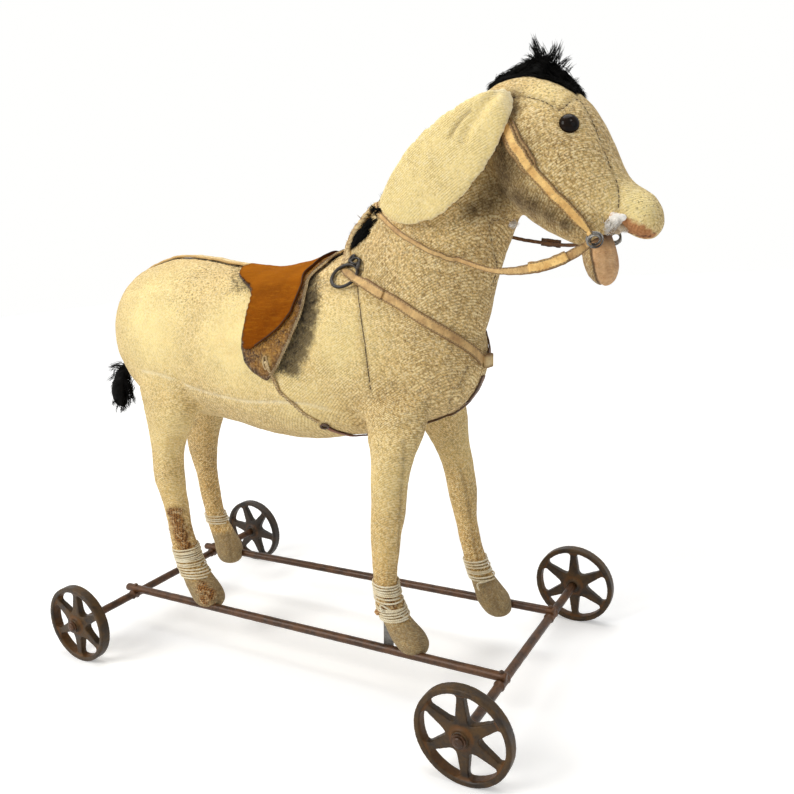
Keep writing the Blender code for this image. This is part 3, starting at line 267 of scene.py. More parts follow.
# %% Lamps
LAMPS = {"key_lamp": ((-1.1, -1.7, 1.6), 1.3, 40, (1, 0.985, 0.95)),
         "top_lamp": ((0.1, 0.2, 2.00), 1.5, 20, (1, 0.99, 0.97)),
         "fill_lamp": ((1.9, -0.7, 0.9), 1.4, 4, (0.97, 0.98, 1))}
AIM_POINT = Vector((0, 0, 0.25))

for name, (spot, size, power, tone) in LAMPS.items():
    light = bpy.data.lights.new(name, "AREA")
    light.shape = "DISK"
    light.size = size
    light.energy = power
    light.color = tone
    lamp = bpy.data.objects.new(name, light)
    lamp.location = spot
    lamp.rotation_euler = (AIM_POINT - Vector(spot)).to_track_quat("-Z", "Y").to_euler()
    scene.collection.objects.link(lamp)
    print(name, spot, power, "W")

# %% [markdown]
# ## The stuffed body
# On the real toy one cover of plush tweed runs over body, neck, head and legs, packed hard with straw.
# It could be modelled as one surface by hand, but the solids already have its shape in seven pieces.
# So copies of them are joined, swelled until they meet, and remeshed into one skin, which a cloth
# simulation then blows up a little, as stuffing does. Seams and creases are pressed in afterwards,
# because a remesh would wipe them out.

# %% Helpers for places and meshes
WHEELBASE = 0.4345
RAIL_HEIGHT = 0.045
FRONT_AXLE_X = 0.2741
REAR_AXLE_X = -0.3332
MIDDLE_X = (FRONT_AXLE_X + REAR_AXLE_X) / 2
SIDES = {"right": -1.0, "left": 1.0}


def at(x, y, high):
    """A place given from mid-wheelbase, the middle plane and the height of the rails."""
    return Vector((x + MIDDLE_X, y, high + RAIL_HEIGHT))


def select_only(piece):
    bpy.ops.object.select_all(action="DESELECT")
    piece.select_set(True)
    bpy.context.view_layer.objects.active = piece


def apply_all(piece):
    """Applies every modifier in its order."""
    select_only(piece)
    for modifier in list(piece.modifiers):
        bpy.ops.object.modifier_apply(modifier=modifier.name)


def link_mesh(name, mesh):
    piece = bpy.data.objects.new(name, mesh)
    scene.collection.objects.link(piece)
    return piece


def solid_copy(name, swell=0.0):
    """A free copy of a solid, its loose triangles merged, grown along its normals."""
    piece = link_mesh("stuffing_" + name, nodes[name].data.copy())
    piece.data.materials.clear()
    select_only(piece)
    bpy.ops.object.mode_set(mode="EDIT")
    bpy.ops.mesh.select_all(action="SELECT")
    bpy.ops.mesh.remove_doubles(threshold=0.00001)
    bpy.ops.transform.shrink_fatten(value=swell)
    bpy.ops.object.mode_set(mode="OBJECT")
    return piece


def joined(pieces, name):
    bpy.ops.object.select_all(action="DESELECT")
    for piece in pieces:
        piece.select_set(True)
    bpy.context.view_layer.objects.active = pieces[0]
    bpy.ops.object.join()
    pieces[0].name = name
    return pieces[0]


def read_points(piece, kind):
    table = np.zeros(len(piece.data.vertices) * 3)
    piece.data.vertices.foreach_get(kind, table)
    return table.reshape(-1, 3)


def points_of(piece):
    return read_points(piece, "co")


def normals_of(piece):
    return read_points(piece, "normal")


def set_points(piece, table):
    piece.data.vertices.foreach_set("co", np.asarray(table, dtype=np.float64).ravel())
    piece.data.update()


def search_tree(piece):
    work = bmesh.new()
    work.from_mesh(piece.data)
    tree = BVHTree.FromBMesh(work)
    work.free()
    return tree


def evened(piece, values, rounds):
    """Values on the points, each averaged with those of its neighbours."""
    ends = np.zeros(len(piece.data.edges) * 2, dtype=np.int64)
    piece.data.edges.foreach_get("vertices", ends)
    one, two = ends[0::2], ends[1::2]
    known = np.bincount(one, minlength=len(values)) + np.bincount(two, minlength=len(values))
    for _ in range(rounds):
        total = np.bincount(one, values[two], len(values)) + np.bincount(two, values[one], len(values))
        values = 0.5 * values + 0.5 * total / np.maximum(known, 1)
    return values


def kept_full(piece, tree, rounds=3):
    """Moves points that rounding drew in back out, on to the form of the solids."""
    for _ in range(rounds):
        table = points_of(piece)
        lack = []
        for point in table:
            hit, way, _, _ = tree.find_nearest(Vector(point))
            lack.append((hit - Vector(point)).dot(way))
        lack = evened(piece, np.clip(np.array(lack), 0, 0.006), 2)
        set_points(piece, table + normals_of(piece) * lack[:, None])


def remeshed(piece, voxel):
    """Makes one closed skin of whatever solids the piece has."""
    skin = piece.modifiers.new("one_skin", "REMESH")
    skin.mode = "VOXEL"
    skin.voxel_size = voxel
    apply_all(piece)


def softened(piece, rounds):
    soften = piece.modifiers.new("soften", "SMOOTH")
    soften.factor = 0.5
    soften.iterations = rounds
    apply_all(piece)


def subdivided(piece):
    finer = piece.modifiers.new("finer", "SUBSURF")
    finer.levels = 1
    finer.render_levels = 1
    apply_all(piece)


def dress(piece, finish):
    piece.data.materials.clear()
    piece.data.materials.append(finish)
    piece.data.shade_smooth()


def mirrored(point, side):
    """A point or direction of the right side as it is, or its mirror image where side is 1, the left."""
    return Vector((point.x, -side * point.y, point.z))


def nearest(point):
    """The nearest place of the cover, and the way out there."""
    return COVER_TREE.find_nearest(point)[:2]


def jitter(chance, size):
    """A small random shift."""
    return Vector([chance.gauss(0, size) for _ in range(3)])


def table_of(points):
    return np.array([tuple(point) for point in points])


def point_tree(points):
    """A tree that finds the nearest of some points."""
    tree = KDTree(len(points))
    for i, point in enumerate(points):
        tree.insert(point, i)
    tree.balance()
    return tree


def keep_biggest(piece):
    """Drops the small islands that a remesh leaves inside."""
    work = bmesh.new()
    work.from_mesh(piece.data)
    left = set(work.verts)
    islands = []
    while left:
        island = {left.pop()}
        edge = list(island)
        while edge:
            edge = [e.other_vert(v) for v in edge for e in v.link_edges if e.other_vert(v) in left]
            edge = list(set(edge))
            left.difference_update(edge)
            island.update(edge)
        islands.append(island)
    islands.sort(key=len)
    bmesh.ops.delete(work, geom=[v for island in islands[:-1] for v in island], context="VERTS")
    work.to_mesh(piece.data)
    work.free()
    return len(islands) - 1


# %% Join the stuffed solids into one skin
COVER_NODES = ["torso", "neck", "head", "front_right_leg", "front_left_leg", "rear_right_leg",
               "rear_left_leg"]
IRON_NODES = ["spine_iron", "front_right_iron", "front_left_iron", "rear_right_iron", "rear_left_iron"]
SWELL = 0.0005
VOXEL = 0.0042
HOOF_TOP = 0.052
FILLING_HEIGHT = 0.0465
FILLING_SIZE = (-0.01, 0.012, 0.009)
IRON_FOOT = 0.075


def hoof_filling(leg):
    """A block in the notch where the rail passes under a hoof, so that the skin closes over it."""
    low = points_of(leg)
    low = low[low[:, 2] < HOOF_TOP]
    middle = (low.min(0) + low.max(0)) / 2
    length = low[:, 0].max() - low[:, 0].min()
    bpy.ops.mesh.primitive_cube_add(size=1.0, location=(middle[0], middle[1], FILLING_HEIGHT),
                                    scale=(length + FILLING_SIZE[0], FILLING_SIZE[1], FILLING_SIZE[2]))
    bpy.ops.object.transform_apply(location=True, rotation=True, scale=True)
    return bpy.context.active_object


stuffed = [solid_copy(name, SWELL) for name in COVER_NODES]
fillings = [hoof_filling(leg) for leg in stuffed[-4:]]
irons = [solid_copy(name, SWELL) for name in IRON_NODES]
for iron in irons[1:]:
    table = points_of(iron)
    table[:, 2] = np.maximum(table[:, 2], IRON_FOOT)
    set_points(iron, table)
cover = joined(stuffed + fillings + irons, "cloth_cover")
remeshed(cover, VOXEL)
islands = keep_biggest(cover)
SOLID_TREE = search_tree(cover)
softened(cover, 4)
print("cover:", len(cover.data.vertices), "points,", islands, "inner islands dropped")

# %% [markdown]
# ## Blow the cover up
# Straw presses the cloth outwards until the seams hold it. Blender's cloth does the same with its
# pressure setting. The skin starts a little smaller, swells for twenty frames without gravity, and no
# point may go further than a few millimetres, so that the harness still lies where it should.

# %% Cloth simulation
START_SMALLER = 0.0016
SWELL_LIMIT = 0.003
SWELL_FRAMES = 20


def puffed(piece, pressure, limit):
    """Swells a closed skin with cloth pressure, and holds every point within the limit."""
    before = points_of(piece)
    cloth = piece.modifiers.new("stuffing", "CLOTH")
    for key, value in {"use_pressure": True, "uniform_pressure_force": pressure, "quality": 4,
                       "tension_stiffness": 12.0, "compression_stiffness": 12.0,
                       "bending_stiffness": 0.3}.items():
        setattr(cloth.settings, key, value)
    cloth.settings.effector_weights.gravity = 0.0
    cloth.collision_settings.use_collision = False
    cloth.point_cache.frame_start = 1
    cloth.point_cache.frame_end = SWELL_FRAMES
    for number in range(1, SWELL_FRAMES + 1):
        scene.frame_set(number)
    apply_all(piece)
    moved = points_of(piece) - before
    length = np.linalg.norm(moved, axis=1, keepdims=True)
    moved *= np.minimum(1, limit / np.maximum(length, 1e-9))
    set_points(piece, before + moved)
    scene.frame_set(1)
    return float(np.linalg.norm(moved, axis=1).mean())


set_points(cover, points_of(cover) - normals_of(cover) * START_SMALLER)
print("cloth moved by", round(1000 * puffed(cover, 4, SWELL_LIMIT), 2), "mm on average")
kept_full(cover, SOLID_TREE)
subdivided(cover)
COVER_TREE = search_tree(cover)
print("cover after subdivision:", len(cover.data.polygons), "faces")

# %% [markdown]
# ## Seams, creases and a hand-stuffed surface
# Hand stuffing leaves soft lumps, and every seam pulls the cloth in. Sculpting them by brush would work,
# but here the places are known from the photograph: rays from the camera through its pixels find the
# seam on the cloth, and the points near it are pushed in. The left side gets the mirrored seams.

# %% Lines on the cloth
SEAM_STEP = 0.0012
SHOULDER_DART = [(357, 284), (360, 310), (364, 340), (368, 370), (371, 391)]
NECK_SEAM = [(508, 218), (499, 220), (490, 223), (491, 236), (494, 252), (497, 266), (494, 280), (489, 290)]
BROW_SEAM = [(508, 97), (524, 96), (544, 101), (560, 109), (571, 101), (580, 100), (590, 115), (599, 134),
             (606, 152), (612, 168), (617, 181), (619, 196), (618, 211)]
BELLY_SEAM = [(126, 372), (142, 371), (160, 375), (179, 382), (202, 391), (227, 398), (253, 402),
              (279, 402), (305, 404), (330, 411)]
CHEST_SEAM = [(468, 366), (460, 384), (450, 402), (441, 420)]
HIP_CREASE = [(168, 366), (174, 374), (180, 384), (189, 396), (200, 406)]
ELBOW_CREASE = [(352, 412), (366, 424), (385, 430), (405, 428), (418, 420)]
FAR_LEG_SEAM = [(452, 440), (462, 476), (470, 512), (475, 548), (483, 575), (490, 600)]
FAR_HOOF_SEAMS = [[(485, 574), (490, 588), (496, 602), (500, 611)], [(228, 532), (230, 544), (231, 556)]]
NEAR_LEG_SEAM = [(196, 420), (192, 452), (187, 484), (186, 512)]
FRONT_LEG_SEAM = [(404, 440), (402, 480), (400, 520), (398, 552)]


def smooth_line(points, step):
    """Points along a smooth curve through the given ones, evenly spaced by about the step."""
    ends = [points[0] * 2 - points[1]] + list(points) + [points[-1] * 2 - points[-2]]
    found = []
    for before, one, two, after in zip(ends, ends[1:], ends[2:], ends[3:]):
        count = max(1, int(round((two - one).length / step)))
        for i in range(count):
            t = i / count
            found.append(0.5 * (2 * one + (two - before) * t
                                + (2 * before - 5 * one + 4 * two - after) * t * t
                                + (3 * one - before - 3 * two + after) * t ** 3))
    return found + [points[-1].copy()]


def on_cloth(pixel, tree=None):
    """The place and the outward direction of the cloth behind a pixel of the photograph."""
    place, way, _, _ = (tree or COVER_TREE).ray_cast(EYE_POINT, sight_line(pixel))
    return place, way


def cloth_line(pixels):
    return smooth_line([on_cloth(pixel)[0] for pixel in pixels if on_cloth(pixel)[0]], SEAM_STEP)


def other_side(line):
    """The same line on the left side of the toy, drawn to the cloth there."""
    return [nearest(mirrored(p, 1))[0] for p in line]


def nearness(table, line, width):
    """How near each point of a table is to a line: 1 on it, and almost nothing beyond twice the width."""
    tree = point_tree(line)
    apart = np.array([tree.find(point)[2] for point in table])
    return np.exp(-(apart / width) ** 2)


SEAMS = [cloth_line(pixels) for pixels in (SHOULDER_DART, NECK_SEAM, BROW_SEAM, BELLY_SEAM, CHEST_SEAM)]
LEG_SEAMS = [cloth_line(pixels) for pixels in (FAR_LEG_SEAM, NEAR_LEG_SEAM, FRONT_LEG_SEAM,
    *FAR_HOOF_SEAMS)]
CREASES = [cloth_line(pixels) for pixels in (HIP_CREASE, ELBOW_CREASE)]
MIRRORED_SEAMS = [other_side(line) for line in SEAMS]
MIRRORED_CREASES = [other_side(line) for line in CREASES]
print("seams:", len(SEAMS) + len(MIRRORED_SEAMS) + len(LEG_SEAMS))

# %% Press them in
LUMP_SIZE = 0.028
LUMP_HEIGHT = 0.0011
GRAIN_SIZE = 0.006
GRAIN_HEIGHT = 0.00025


def lumps(table, size, seed):
    shift = Vector((seed, 2.0 * seed, 3.0 * seed))
    return np.array([noise_at(Vector(point) / size + shift) for point in table])


table = points_of(cover)
ways = normals_of(cover)
push = LUMP_HEIGHT * lumps(table, LUMP_SIZE, 1.7) + GRAIN_HEIGHT * lumps(table, GRAIN_SIZE, 5.1)
PRESSES = [(SEAMS + MIRRORED_SEAMS, 0.0026, 0.0013), (LEG_SEAMS, 0.0022, 0.0008),
           (CREASES + MIRRORED_CREASES, 0.006, 0.003)]
for lines, width, depth in PRESSES:
    every = [point for line in lines for point in line]
    push -= depth * nearness(table, every, width)
    push += 0.35 * depth * nearness(table, every, 2.6 * width)
set_points(cover, table + ways * push[:, None])
COVER_TREE = search_tree(cover)
cover.data.shade_smooth()
print("pressed in by up to", round(-1000 * push.min(), 2), "mm")

# %% [markdown]
# ## Where the cloth has changed
# A century of play has bleached the rump, soiled the nap ahead of the saddle and rubbed some places
# bare. Each of these is a number stored on the points of the cover, which the finish mixes in with
# noise, so that the borders fray. The underside of the muzzle is a patch of salmon felt.
# Under and behind the ear a dark zone is painted shade, with some grime.

# %% Zones of the cloth
ZONES = {"soiled": [((306, 284), 0.011), ((309, 300), 0.012), ((309, 318), 0.013), ((304, 336), 0.014),
                    ((298, 352), 0.014), ((291, 367), 0.012)],
         "worn": [((172, 513), 0.0085), ((179, 512), 0.006), ((176, 521), 0.01), ((179, 530), 0.0105),
                  ((182, 538), 0.01), ((185, 546), 0.009), ((202, 588), 0.0085), ((210, 594), 0.0085),
                  ((204, 600), 0.008), ((389, 597), 0.0065), ((394, 605), 0.0065), ((383, 606), 0.005),
                  ((407, 647), 0.0016)], "pilled": [((196, 276), 0.018), ((222, 280), 0.02),
    ((238, 288), 0.014), ((545, 84), 0.016), ((524, 92), 0.012), ((565, 86), 0.012), ((185, 300), 0.014),
    ((648, 205), 0.012), ((560, 106), 0.01)], "lip": [((627, 223), 0.0052), ((626, 229), 0.0056),
    ((633, 227), 0.0056), ((633, 232), 0.006), ((640, 230), 0.0056), ((640, 235), 0.006),
    ((647, 233), 0.005), ((647, 236), 0.0055), ((652, 236), 0.004)],
         # painted shade with some grime: a dark brown zone under and behind the ear, by its fold and along
         # the jaw
         "grimy": [((503, 140), 0.014), ((505, 155), 0.019), ((505, 172), 0.022), ((500, 190), 0.019),
                   ((488, 203), 0.014), ((519, 198), 0.017), ((533, 206), 0.015), ((549, 215), 0.012),
                   ((565, 224), 0.009), ((510, 98), 0.008), ((512, 110), 0.008), ((473, 210), 0.009)],
         "mouth_edge": [((628, 232), 0.0016), ((632, 234), 0.0018), ((636, 235), 0.0018),
                        ((641, 236), 0.0018), ((645, 236), 0.0018), ((650, 236), 0.0018),
                        ((654, 233), 0.0016), ((606, 237), 0.003), ((612, 238), 0.003),
                        ((621, 218), 0.0022)],}
CLEAN = {"rump": ((150, 325), 0.075, 1), "barrel": ((235, 340), 0.07, 1),
         "shoulder": ((335, 340), 0.045, 0.85), "nose": ((640, 203), 0.022, 1.1),
         "belly": ((300, 405), 0.05, 0.8), "brow": ((548, 90), 0.02, 0.75),
         "front_leg": ((392, 490), 0.05, 0.75), "front_knee": ((388, 550), 0.03, 0.75),
         "rear_leg": ((170, 440), 0.05, 0.75), "hock": ((180, 490), 0.03, 0.8)}
UNCLEAN = 0.22
HOOF_TOP_HEIGHT = 0.032


def zone_values(spots, table):
    """Soft discs round places on the cloth, and round their mirror images."""
    value = np.zeros(len(table))
    for pixel, radius in spots:
        place = on_cloth(pixel)[0]
        if place is None:
            print("no cloth behind", pixel)
            continue
        for side in (1, -1):
            apart = np.linalg.norm(table - np.array((place.x, side * place.y, place.z)), axis=1)
            value = np.maximum(value, np.exp(-(apart / radius) ** 2))
    return value


def store(piece, name, values):
    piece.data.attributes.new(name, "FLOAT", "POINT").data.foreach_set("value", values.astype(np.float32))


table = points_of(cover)
ways = normals_of(cover)
for name, spots in ZONES.items():
    values = zone_values(spots, table)
    if name == "lip":
        values *= np.clip((-ways[:, 2] + 0.95) * 5.0, 0, 1)
    store(cover, name, values)
    print(name, "covers", int((values > 0.5).sum()), "points")
clean = np.full(len(table), UNCLEAN)
for pixel, radius, share in CLEAN.values():
    clean = np.maximum(clean, UNCLEAN + (share - UNCLEAN) * zone_values([(pixel, radius)], table))
store(cover, "clean", clean)
store(cover, "hoof", np.clip((at(0, 0, HOOF_TOP_HEIGHT).z - table[:, 2]) / 0.006, 0, 1))
belly_lines = [SEAMS[3], MIRRORED_SEAMS[3]]
dark_lines = [line for line in SEAMS + MIRRORED_SEAMS + LEG_SEAMS if line not in belly_lines]
store(cover, "seam", nearness(table, [point for line in dark_lines for point in line], 0.0016))
store(cover, "pale", 0.8 * nearness(table, [point for line in belly_lines for point in line], 0.0016))

# %% [markdown]
# ## Plush tweed
# The cloth is a worn plush on a twill ground: fine slanting rows, flecks of brown and grey, and a short
# nap. An image could show it, but it would need an unwrapped cover. Instead slanting bands are
# computed from the object's own coordinates, and broken up with noise.

# %% The cloth's finish
TWILL_PITCH = 0.00165
WARP_PITCH = 0.0021
WEFT_PITCH = 0.0018
DARK_NAP = colour(0.165, 0.092, 0.03)


def slanted(place):
    """Across and along the slanting rows, which run up towards the nose on both flanks."""
    x, y, z = axes_of(place)
    side = abs(y)
    across = x * -0.55 + z * 0.8 - side * 0.5
    return across + noise(place, 60, 2) * 0.0016, x * 0.8 + z * 0.55, side


def tweed_base(place):
    """Colour, height and fibres of the plush tweed, before its worn zones."""
    blotch = noise(place, 26, 4, 0.6)
    clean = calc("ADD", stored(place, "clean"), (blotch - 0.5) * 0.55, True)
    ground = mixed(clean, colour(0.66, 0.415, 0.148), colour(0.98, 0.79, 0.345))
    ground = mixed(spread(blotch, 0.52, 0.72, 0, 0.4), ground, colour(0.66, 0.4, 0.12))
    # painted shade: lower down, on the legs, the cloth turns darker and more orange
    ground = mixed(spread(axes_of(place)[2], 0.24, 0.11, 0, 0.55), ground, colour(0.74, 0.41, 0.1))
    across, along, side = slanted(place)
    row = across / TWILL_PITCH
    within = abs(calc("FRACT", row) - 0.5)
    groove = spread(within, 0.2, 0.46) * spread(noise(place, 48, 3, 0.6), 0.35, 0.6, 0.3, 1)
    dash = noise(place_from(along * 560.0, calc("FLOOR", row) * 5.37, side * 260.0), 1, 2, 0.6)
    fibre = noise(place, 520, 4, 0.8)
    speck = noise(place, 640, 3, 0.7)
    dark_share = spread(clean, 0.15, 1, 1, 0.16)
    tone = mixed(groove * 0.42 * dark_share, ground, DARK_NAP)
    tone = mixed(spread(dash, 0.5, 0.4) * dark_share * 0.5, tone, DARK_NAP)
    tone = mixed(spread(speck, 0.52, 0.64) * dark_share * 0.8, tone, DARK_NAP)
    pale_thread = spread(dash, 0.5, 0.64) * spread(within, 0.4, 0.22)
    tone = mixed(pale_thread * spread(clean, 0.3, 1, 0.8, 0.3), tone, colour(1, 0.84, 0.47))
    tone = mixed(spread(fibre, 0.5, 0.62, 0, 0.55), tone, colour(1, 0.87, 0.56))
    return tone, groove * -0.7 + (fibre + dash * 0.5), fibre


def frayed_zone(name, fray, amount):
    """A stored zone with an irregular border."""
    zone = stored(fray, name)
    return spread(zone + (fray - 0.5) * 0.9, 0.35, 0.75) * amount * spread(zone, 0.02, 0.12)


tweed, shader, place = start_finish("plush_tweed", 0.95, Sheen_Weight=0.1, Sheen_Roughness=0.6,
                                    Specular_IOR_Level=0.12)
tone, height, fibre = tweed_base(place)
fray = noise(place, 160, 5, 0.75)
x, _, z = axes_of(place)
snarl = noise(place, 330, 3, 0.7) * 0.0034
warp = calc("SINE", (x + snarl) * (2 * math.pi / WARP_PITCH))
weft = calc("SINE", (z - snarl) * (2 * math.pi / WEFT_PITCH))
rubbed = noise(place, 210, 4, 0.7)
sacking = mixed(spread(warp + weft, -0.6, 1.3), colour(0.085, 0.028, 0.006), colour(0.46, 0.21, 0.055))
sacking = mixed(spread(rubbed, 0.52, 0.66), sacking, colour(0.72, 0.53, 0.28))
hoof_cloth = mixed(fibre, colour(0.15, 0.105, 0.055), colour(0.36, 0.28, 0.16))
# dark brown for the painted shade with some grime under and behind the ear
shade_and_grime_tone = mixed(spread(fibre, 0.45, 0.6), colour(0.034, 0.018, 0.005), colour(0.15, 0.092, 0.034))
soil = mixed(fibre, colour(0.032, 0.02, 0.008), colour(0.11, 0.076, 0.034))
lip_felt = mixed(spread(fibre, 0.35, 0.65), colour(0.34, 0.13, 0.04), colour(0.6, 0.29, 0.12))
pills = spread(noise(place, 640, 1, 0.5), 0.6, 0.66) * spread(stored(place, "pilled"), 0.05, 0.75)
for share, layer in ((stored(place, "hoof") * spread(fray, 0.3, 0.6, 0.55, 0.8), hoof_cloth),
                     (stored(place, "grimy") * spread(fray, 0.25, 0.75, 0.78, 1), shade_and_grime_tone),
                     (frayed_zone("soiled", fray, 0.85), soil), (frayed_zone("worn", fray, 0.95), sacking),
                     (pills * 0.55, colour(0.17, 0.095, 0.035)), (frayed_zone("lip", fray, 1), lip_felt),
                     (frayed_zone("mouth_edge", fray, 0.9), colour(0.13, 0.05, 0.02)),
                     (stored(place, "seam") * 0.45, colour(0.16, 0.1, 0.05)),
                     (stored(place, "pale") * spread(fray, 0.35, 0.6, 0.25, 0.85),
                      colour(0.98, 0.9, 0.68))):
    tone = mixed(share, tone, layer)
paint(shader, tone)
relief(shader, height, 0.0006, 0.8)
dress(cover, tweed)
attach(cover, BODY)
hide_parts(*COVER_NODES)
print("cover:", len(cover.data.polygons), "faces")

# %% [markdown]
# ## Ears and lower jaw
# Each lop ear is two layers of the plush sewn together round the edge, and the lower jaw is a small
# stuffed flap, plush behind and salmon felt in front. They are sewn on, so they are pieces of their
# own: a copy of the solid is remeshed finely, rounded, puffed a little, and then gets its seams.

# %% Ears
EAR_VOXEL = 0.0021
EAR_CLEAN = 0.9
EAR_DART = [(470, 111), (463, 117), (456, 126), (450, 136)]
EAR_PLEAT = [(506, 83), (497, 92), (486, 104), (474, 120), (464, 140)]


def sewn_piece(name, node, swell, voxel, rounds):
    """A padded piece from a solid: remeshed, rounded, puffed, with one subdivision."""
    piece = solid_copy(node, swell)
    piece.name = name
    solid_tree = search_tree(piece)
    remeshed(piece, voxel)
    softened(piece, rounds)
    keep_biggest(piece)
    puffed(piece, 3, 0.0008)
    kept_full(piece, solid_tree)
    subdivided(piece)
    return piece


def finish_sewn(piece, node, finish):
    dress(piece, finish)
    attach(piece, BODY)
    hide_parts(node)
    print(piece.name, len(piece.data.polygons), "faces")


for side_name, side in SIDES.items():
    ear = sewn_piece(side_name + "_lop_ear", side_name + "_ear", 0.0004, EAR_VOXEL, 3)
    table = points_of(ear)
    ways = normals_of(ear)
    if side < 0:
        near_tree = search_tree(ear)
        folds = [[on_cloth(pixel, near_tree)[0] for pixel in pixels] for pixels in (EAR_DART, EAR_PLEAT)]
    dart, pleat = [smooth_line([mirrored(p, side) for p in fold if p], SEAM_STEP) for fold in folds]
    rim = np.clip(1.0 - 1.3 * np.abs(ways[:, 1]), 0, 1)
    push = 0.0006 * lumps(table, 0.016, 3.3) + 0.0002 * lumps(table, 0.005, 8.1) + 0.0005 * rim
    push -= 0.0014 * nearness(table, dart, 0.0018)
    push -= 0.002 * nearness(table, pleat, 0.004)
    set_points(ear, table + ways * push[:, None])
    store(ear, "seam", nearness(table, dart, 0.0014))
    store(ear, "pale", rim)
    store(ear, "clean", np.full(len(table), EAR_CLEAN))
    finish_sewn(ear, side_name + "_ear", tweed)

# %% Lower jaw
JAW_SEAM_X = 0.2555
JAW_MIDDLE_Z = 0.374
JAW_SLANT = 0.14


def felt_colour(place, dark, light):
    """Salmon felt: matted fibres in two tones."""
    fibre = noise(place, 700, 4, 0.7)
    tone = mixed(spread(noise(place, 90, 4, 0.7), 0.35, 0.65), dark, light)
    return mixed(spread(fibre, 0.5, 0.72, 0, 0.35), tone, colour(0.85, 0.62, 0.42)), fibre


jaw_finish, shader, place = start_finish("jaw_plush_and_felt", 0.95, Sheen_Weight=0.2)
plush, plush_height, _ = tweed_base(place)
plush = mixed(0.35, plush, colour(0.22, 0.13, 0.06))
felt, felt_height = felt_colour(place, colour(0.52, 0.27, 0.11), colour(0.84, 0.54, 0.27))
x, _, z = axes_of(place)
along = x + (z - JAW_MIDDLE_Z) * JAW_SLANT + noise(place, 260) * 0.0016
front = spread(along, JAW_SEAM_X + 0.0004, JAW_SEAM_X + 0.001)
edge = spread(along, JAW_SEAM_X - 0.0012, JAW_SEAM_X) * spread(along, JAW_SEAM_X + 0.002,
    JAW_SEAM_X + 0.0008)
shade = spread(z, JAW_MIDDLE_Z + 0.01, JAW_MIDDLE_Z + 0.019, 0, 0.85)
tone = mixed(shade, mixed(front, plush, felt), colour(0.075, 0.032, 0.014))
paint(shader, mixed(edge * 0.8, tone, colour(0.07, 0.035, 0.015)))
relief(shader, plush_height + felt_height, 0.0005, 0.8)

jaw = sewn_piece("sewn_jaw", "lower_jaw", 0.0003, 0.0016, 2)
table = points_of(jaw)
slanting = table[:, 0] + JAW_SLANT * (table[:, 2] - JAW_MIDDLE_Z)
groove = np.exp(-((slanting - JAW_SEAM_X - 0.0006) / 0.0012) ** 2)
push = 0.0004 * lumps(table, 0.007, 2.2) - 0.0009 * groove
set_points(jaw, table + normals_of(jaw) * push[:, None])
finish_sewn(jaw, "lower_jaw", jaw_finish)

# %% [markdown]
# ## Cast iron wheels
# Each wheel is one casting: a rim, six spokes that flare into the hub, and a raised boss. Spokes could
# be modelled one by one and joined, but a founder thinks of a dished disc with six openings. So the
# section is spun round the axle, and six rounded openings are cut out of the web. A fine remesh melts
# the sharp edges into the fillets that a casting has.

# %% One wheel, flat at the origin
WHEEL_RADIUS = 0.04
TRACK = 0.272
AXLE_X = {"front": WHEELBASE / 2 + MIDDLE_X, "rear": -WHEELBASE / 2 + MIDDLE_X}
SPOKE_TURNS = {"front_right": 30.0, "front_left": 30.0, "rear_right": 24.0, "rear_left": 49.0}
SPOKES = 6
SPIN_STEPS = 96
WHEEL_SECTION = [(0.00325, 0.008), (0.0062, 0.008), (0.0069, 0.0074), (0.0071, 0.0052), (0.0092, 0.0043),
                 (0.02, 0.0034), (0.032, 0.003), (0.0346, 0.0036), (0.0356, 0.005), (0.0362, 0.0053),
                 (0.039, 0.0053), (0.0399, 0.0045), (0.0399, -0.0045), (0.039, -0.0053), (0.0362, -0.0053),
                 (0.0356, -0.005), (0.0346, -0.0036), (0.032, -0.003), (0.02, -0.0034), (0.0092, -0.0043),
                 (0.0071, -0.0052), (0.0069, -0.0066), (0.0062, -0.007), (0.00325, -0.007)]
OPENING_TIP = 0.0112
OPENING_OUTSIDE = 0.035
HALF_SPOKE = 0.0026
CASTING_VOXEL = 0.00075


def spun(name, section, steps=SPIN_STEPS):
    """A turned piece about Z from a closed section of radius and height."""
    mesh = bpy.data.meshes.new(name)
    count = len(section)
    mesh.from_pydata([(r, 0, z) for r, z in section], [(i, (i + 1) % count) for i in range(count)], [])
    piece = link_mesh(name, mesh)
    select_only(piece)
    bpy.ops.object.mode_set(mode="EDIT")
    bpy.ops.mesh.select_all(action="SELECT")
    bpy.ops.mesh.spin(steps=steps, angle=2 * math.pi, center=(0, 0, 0), axis=(0, 0, 1))
    bpy.ops.mesh.select_all(action="SELECT")
    bpy.ops.mesh.remove_doubles(threshold=0.000005)
    bpy.ops.mesh.normals_make_consistent(inside=False)
    bpy.ops.object.mode_set(mode="OBJECT")
    return piece


def roughened(piece, height, size, seed):
    """Pits and lumps of old iron, as geometry."""
    table = points_of(piece)
    set_points(piece, table + normals_of(piece) * (height * lumps(table, size, seed))[:, None])
    piece.data.shade_smooth()


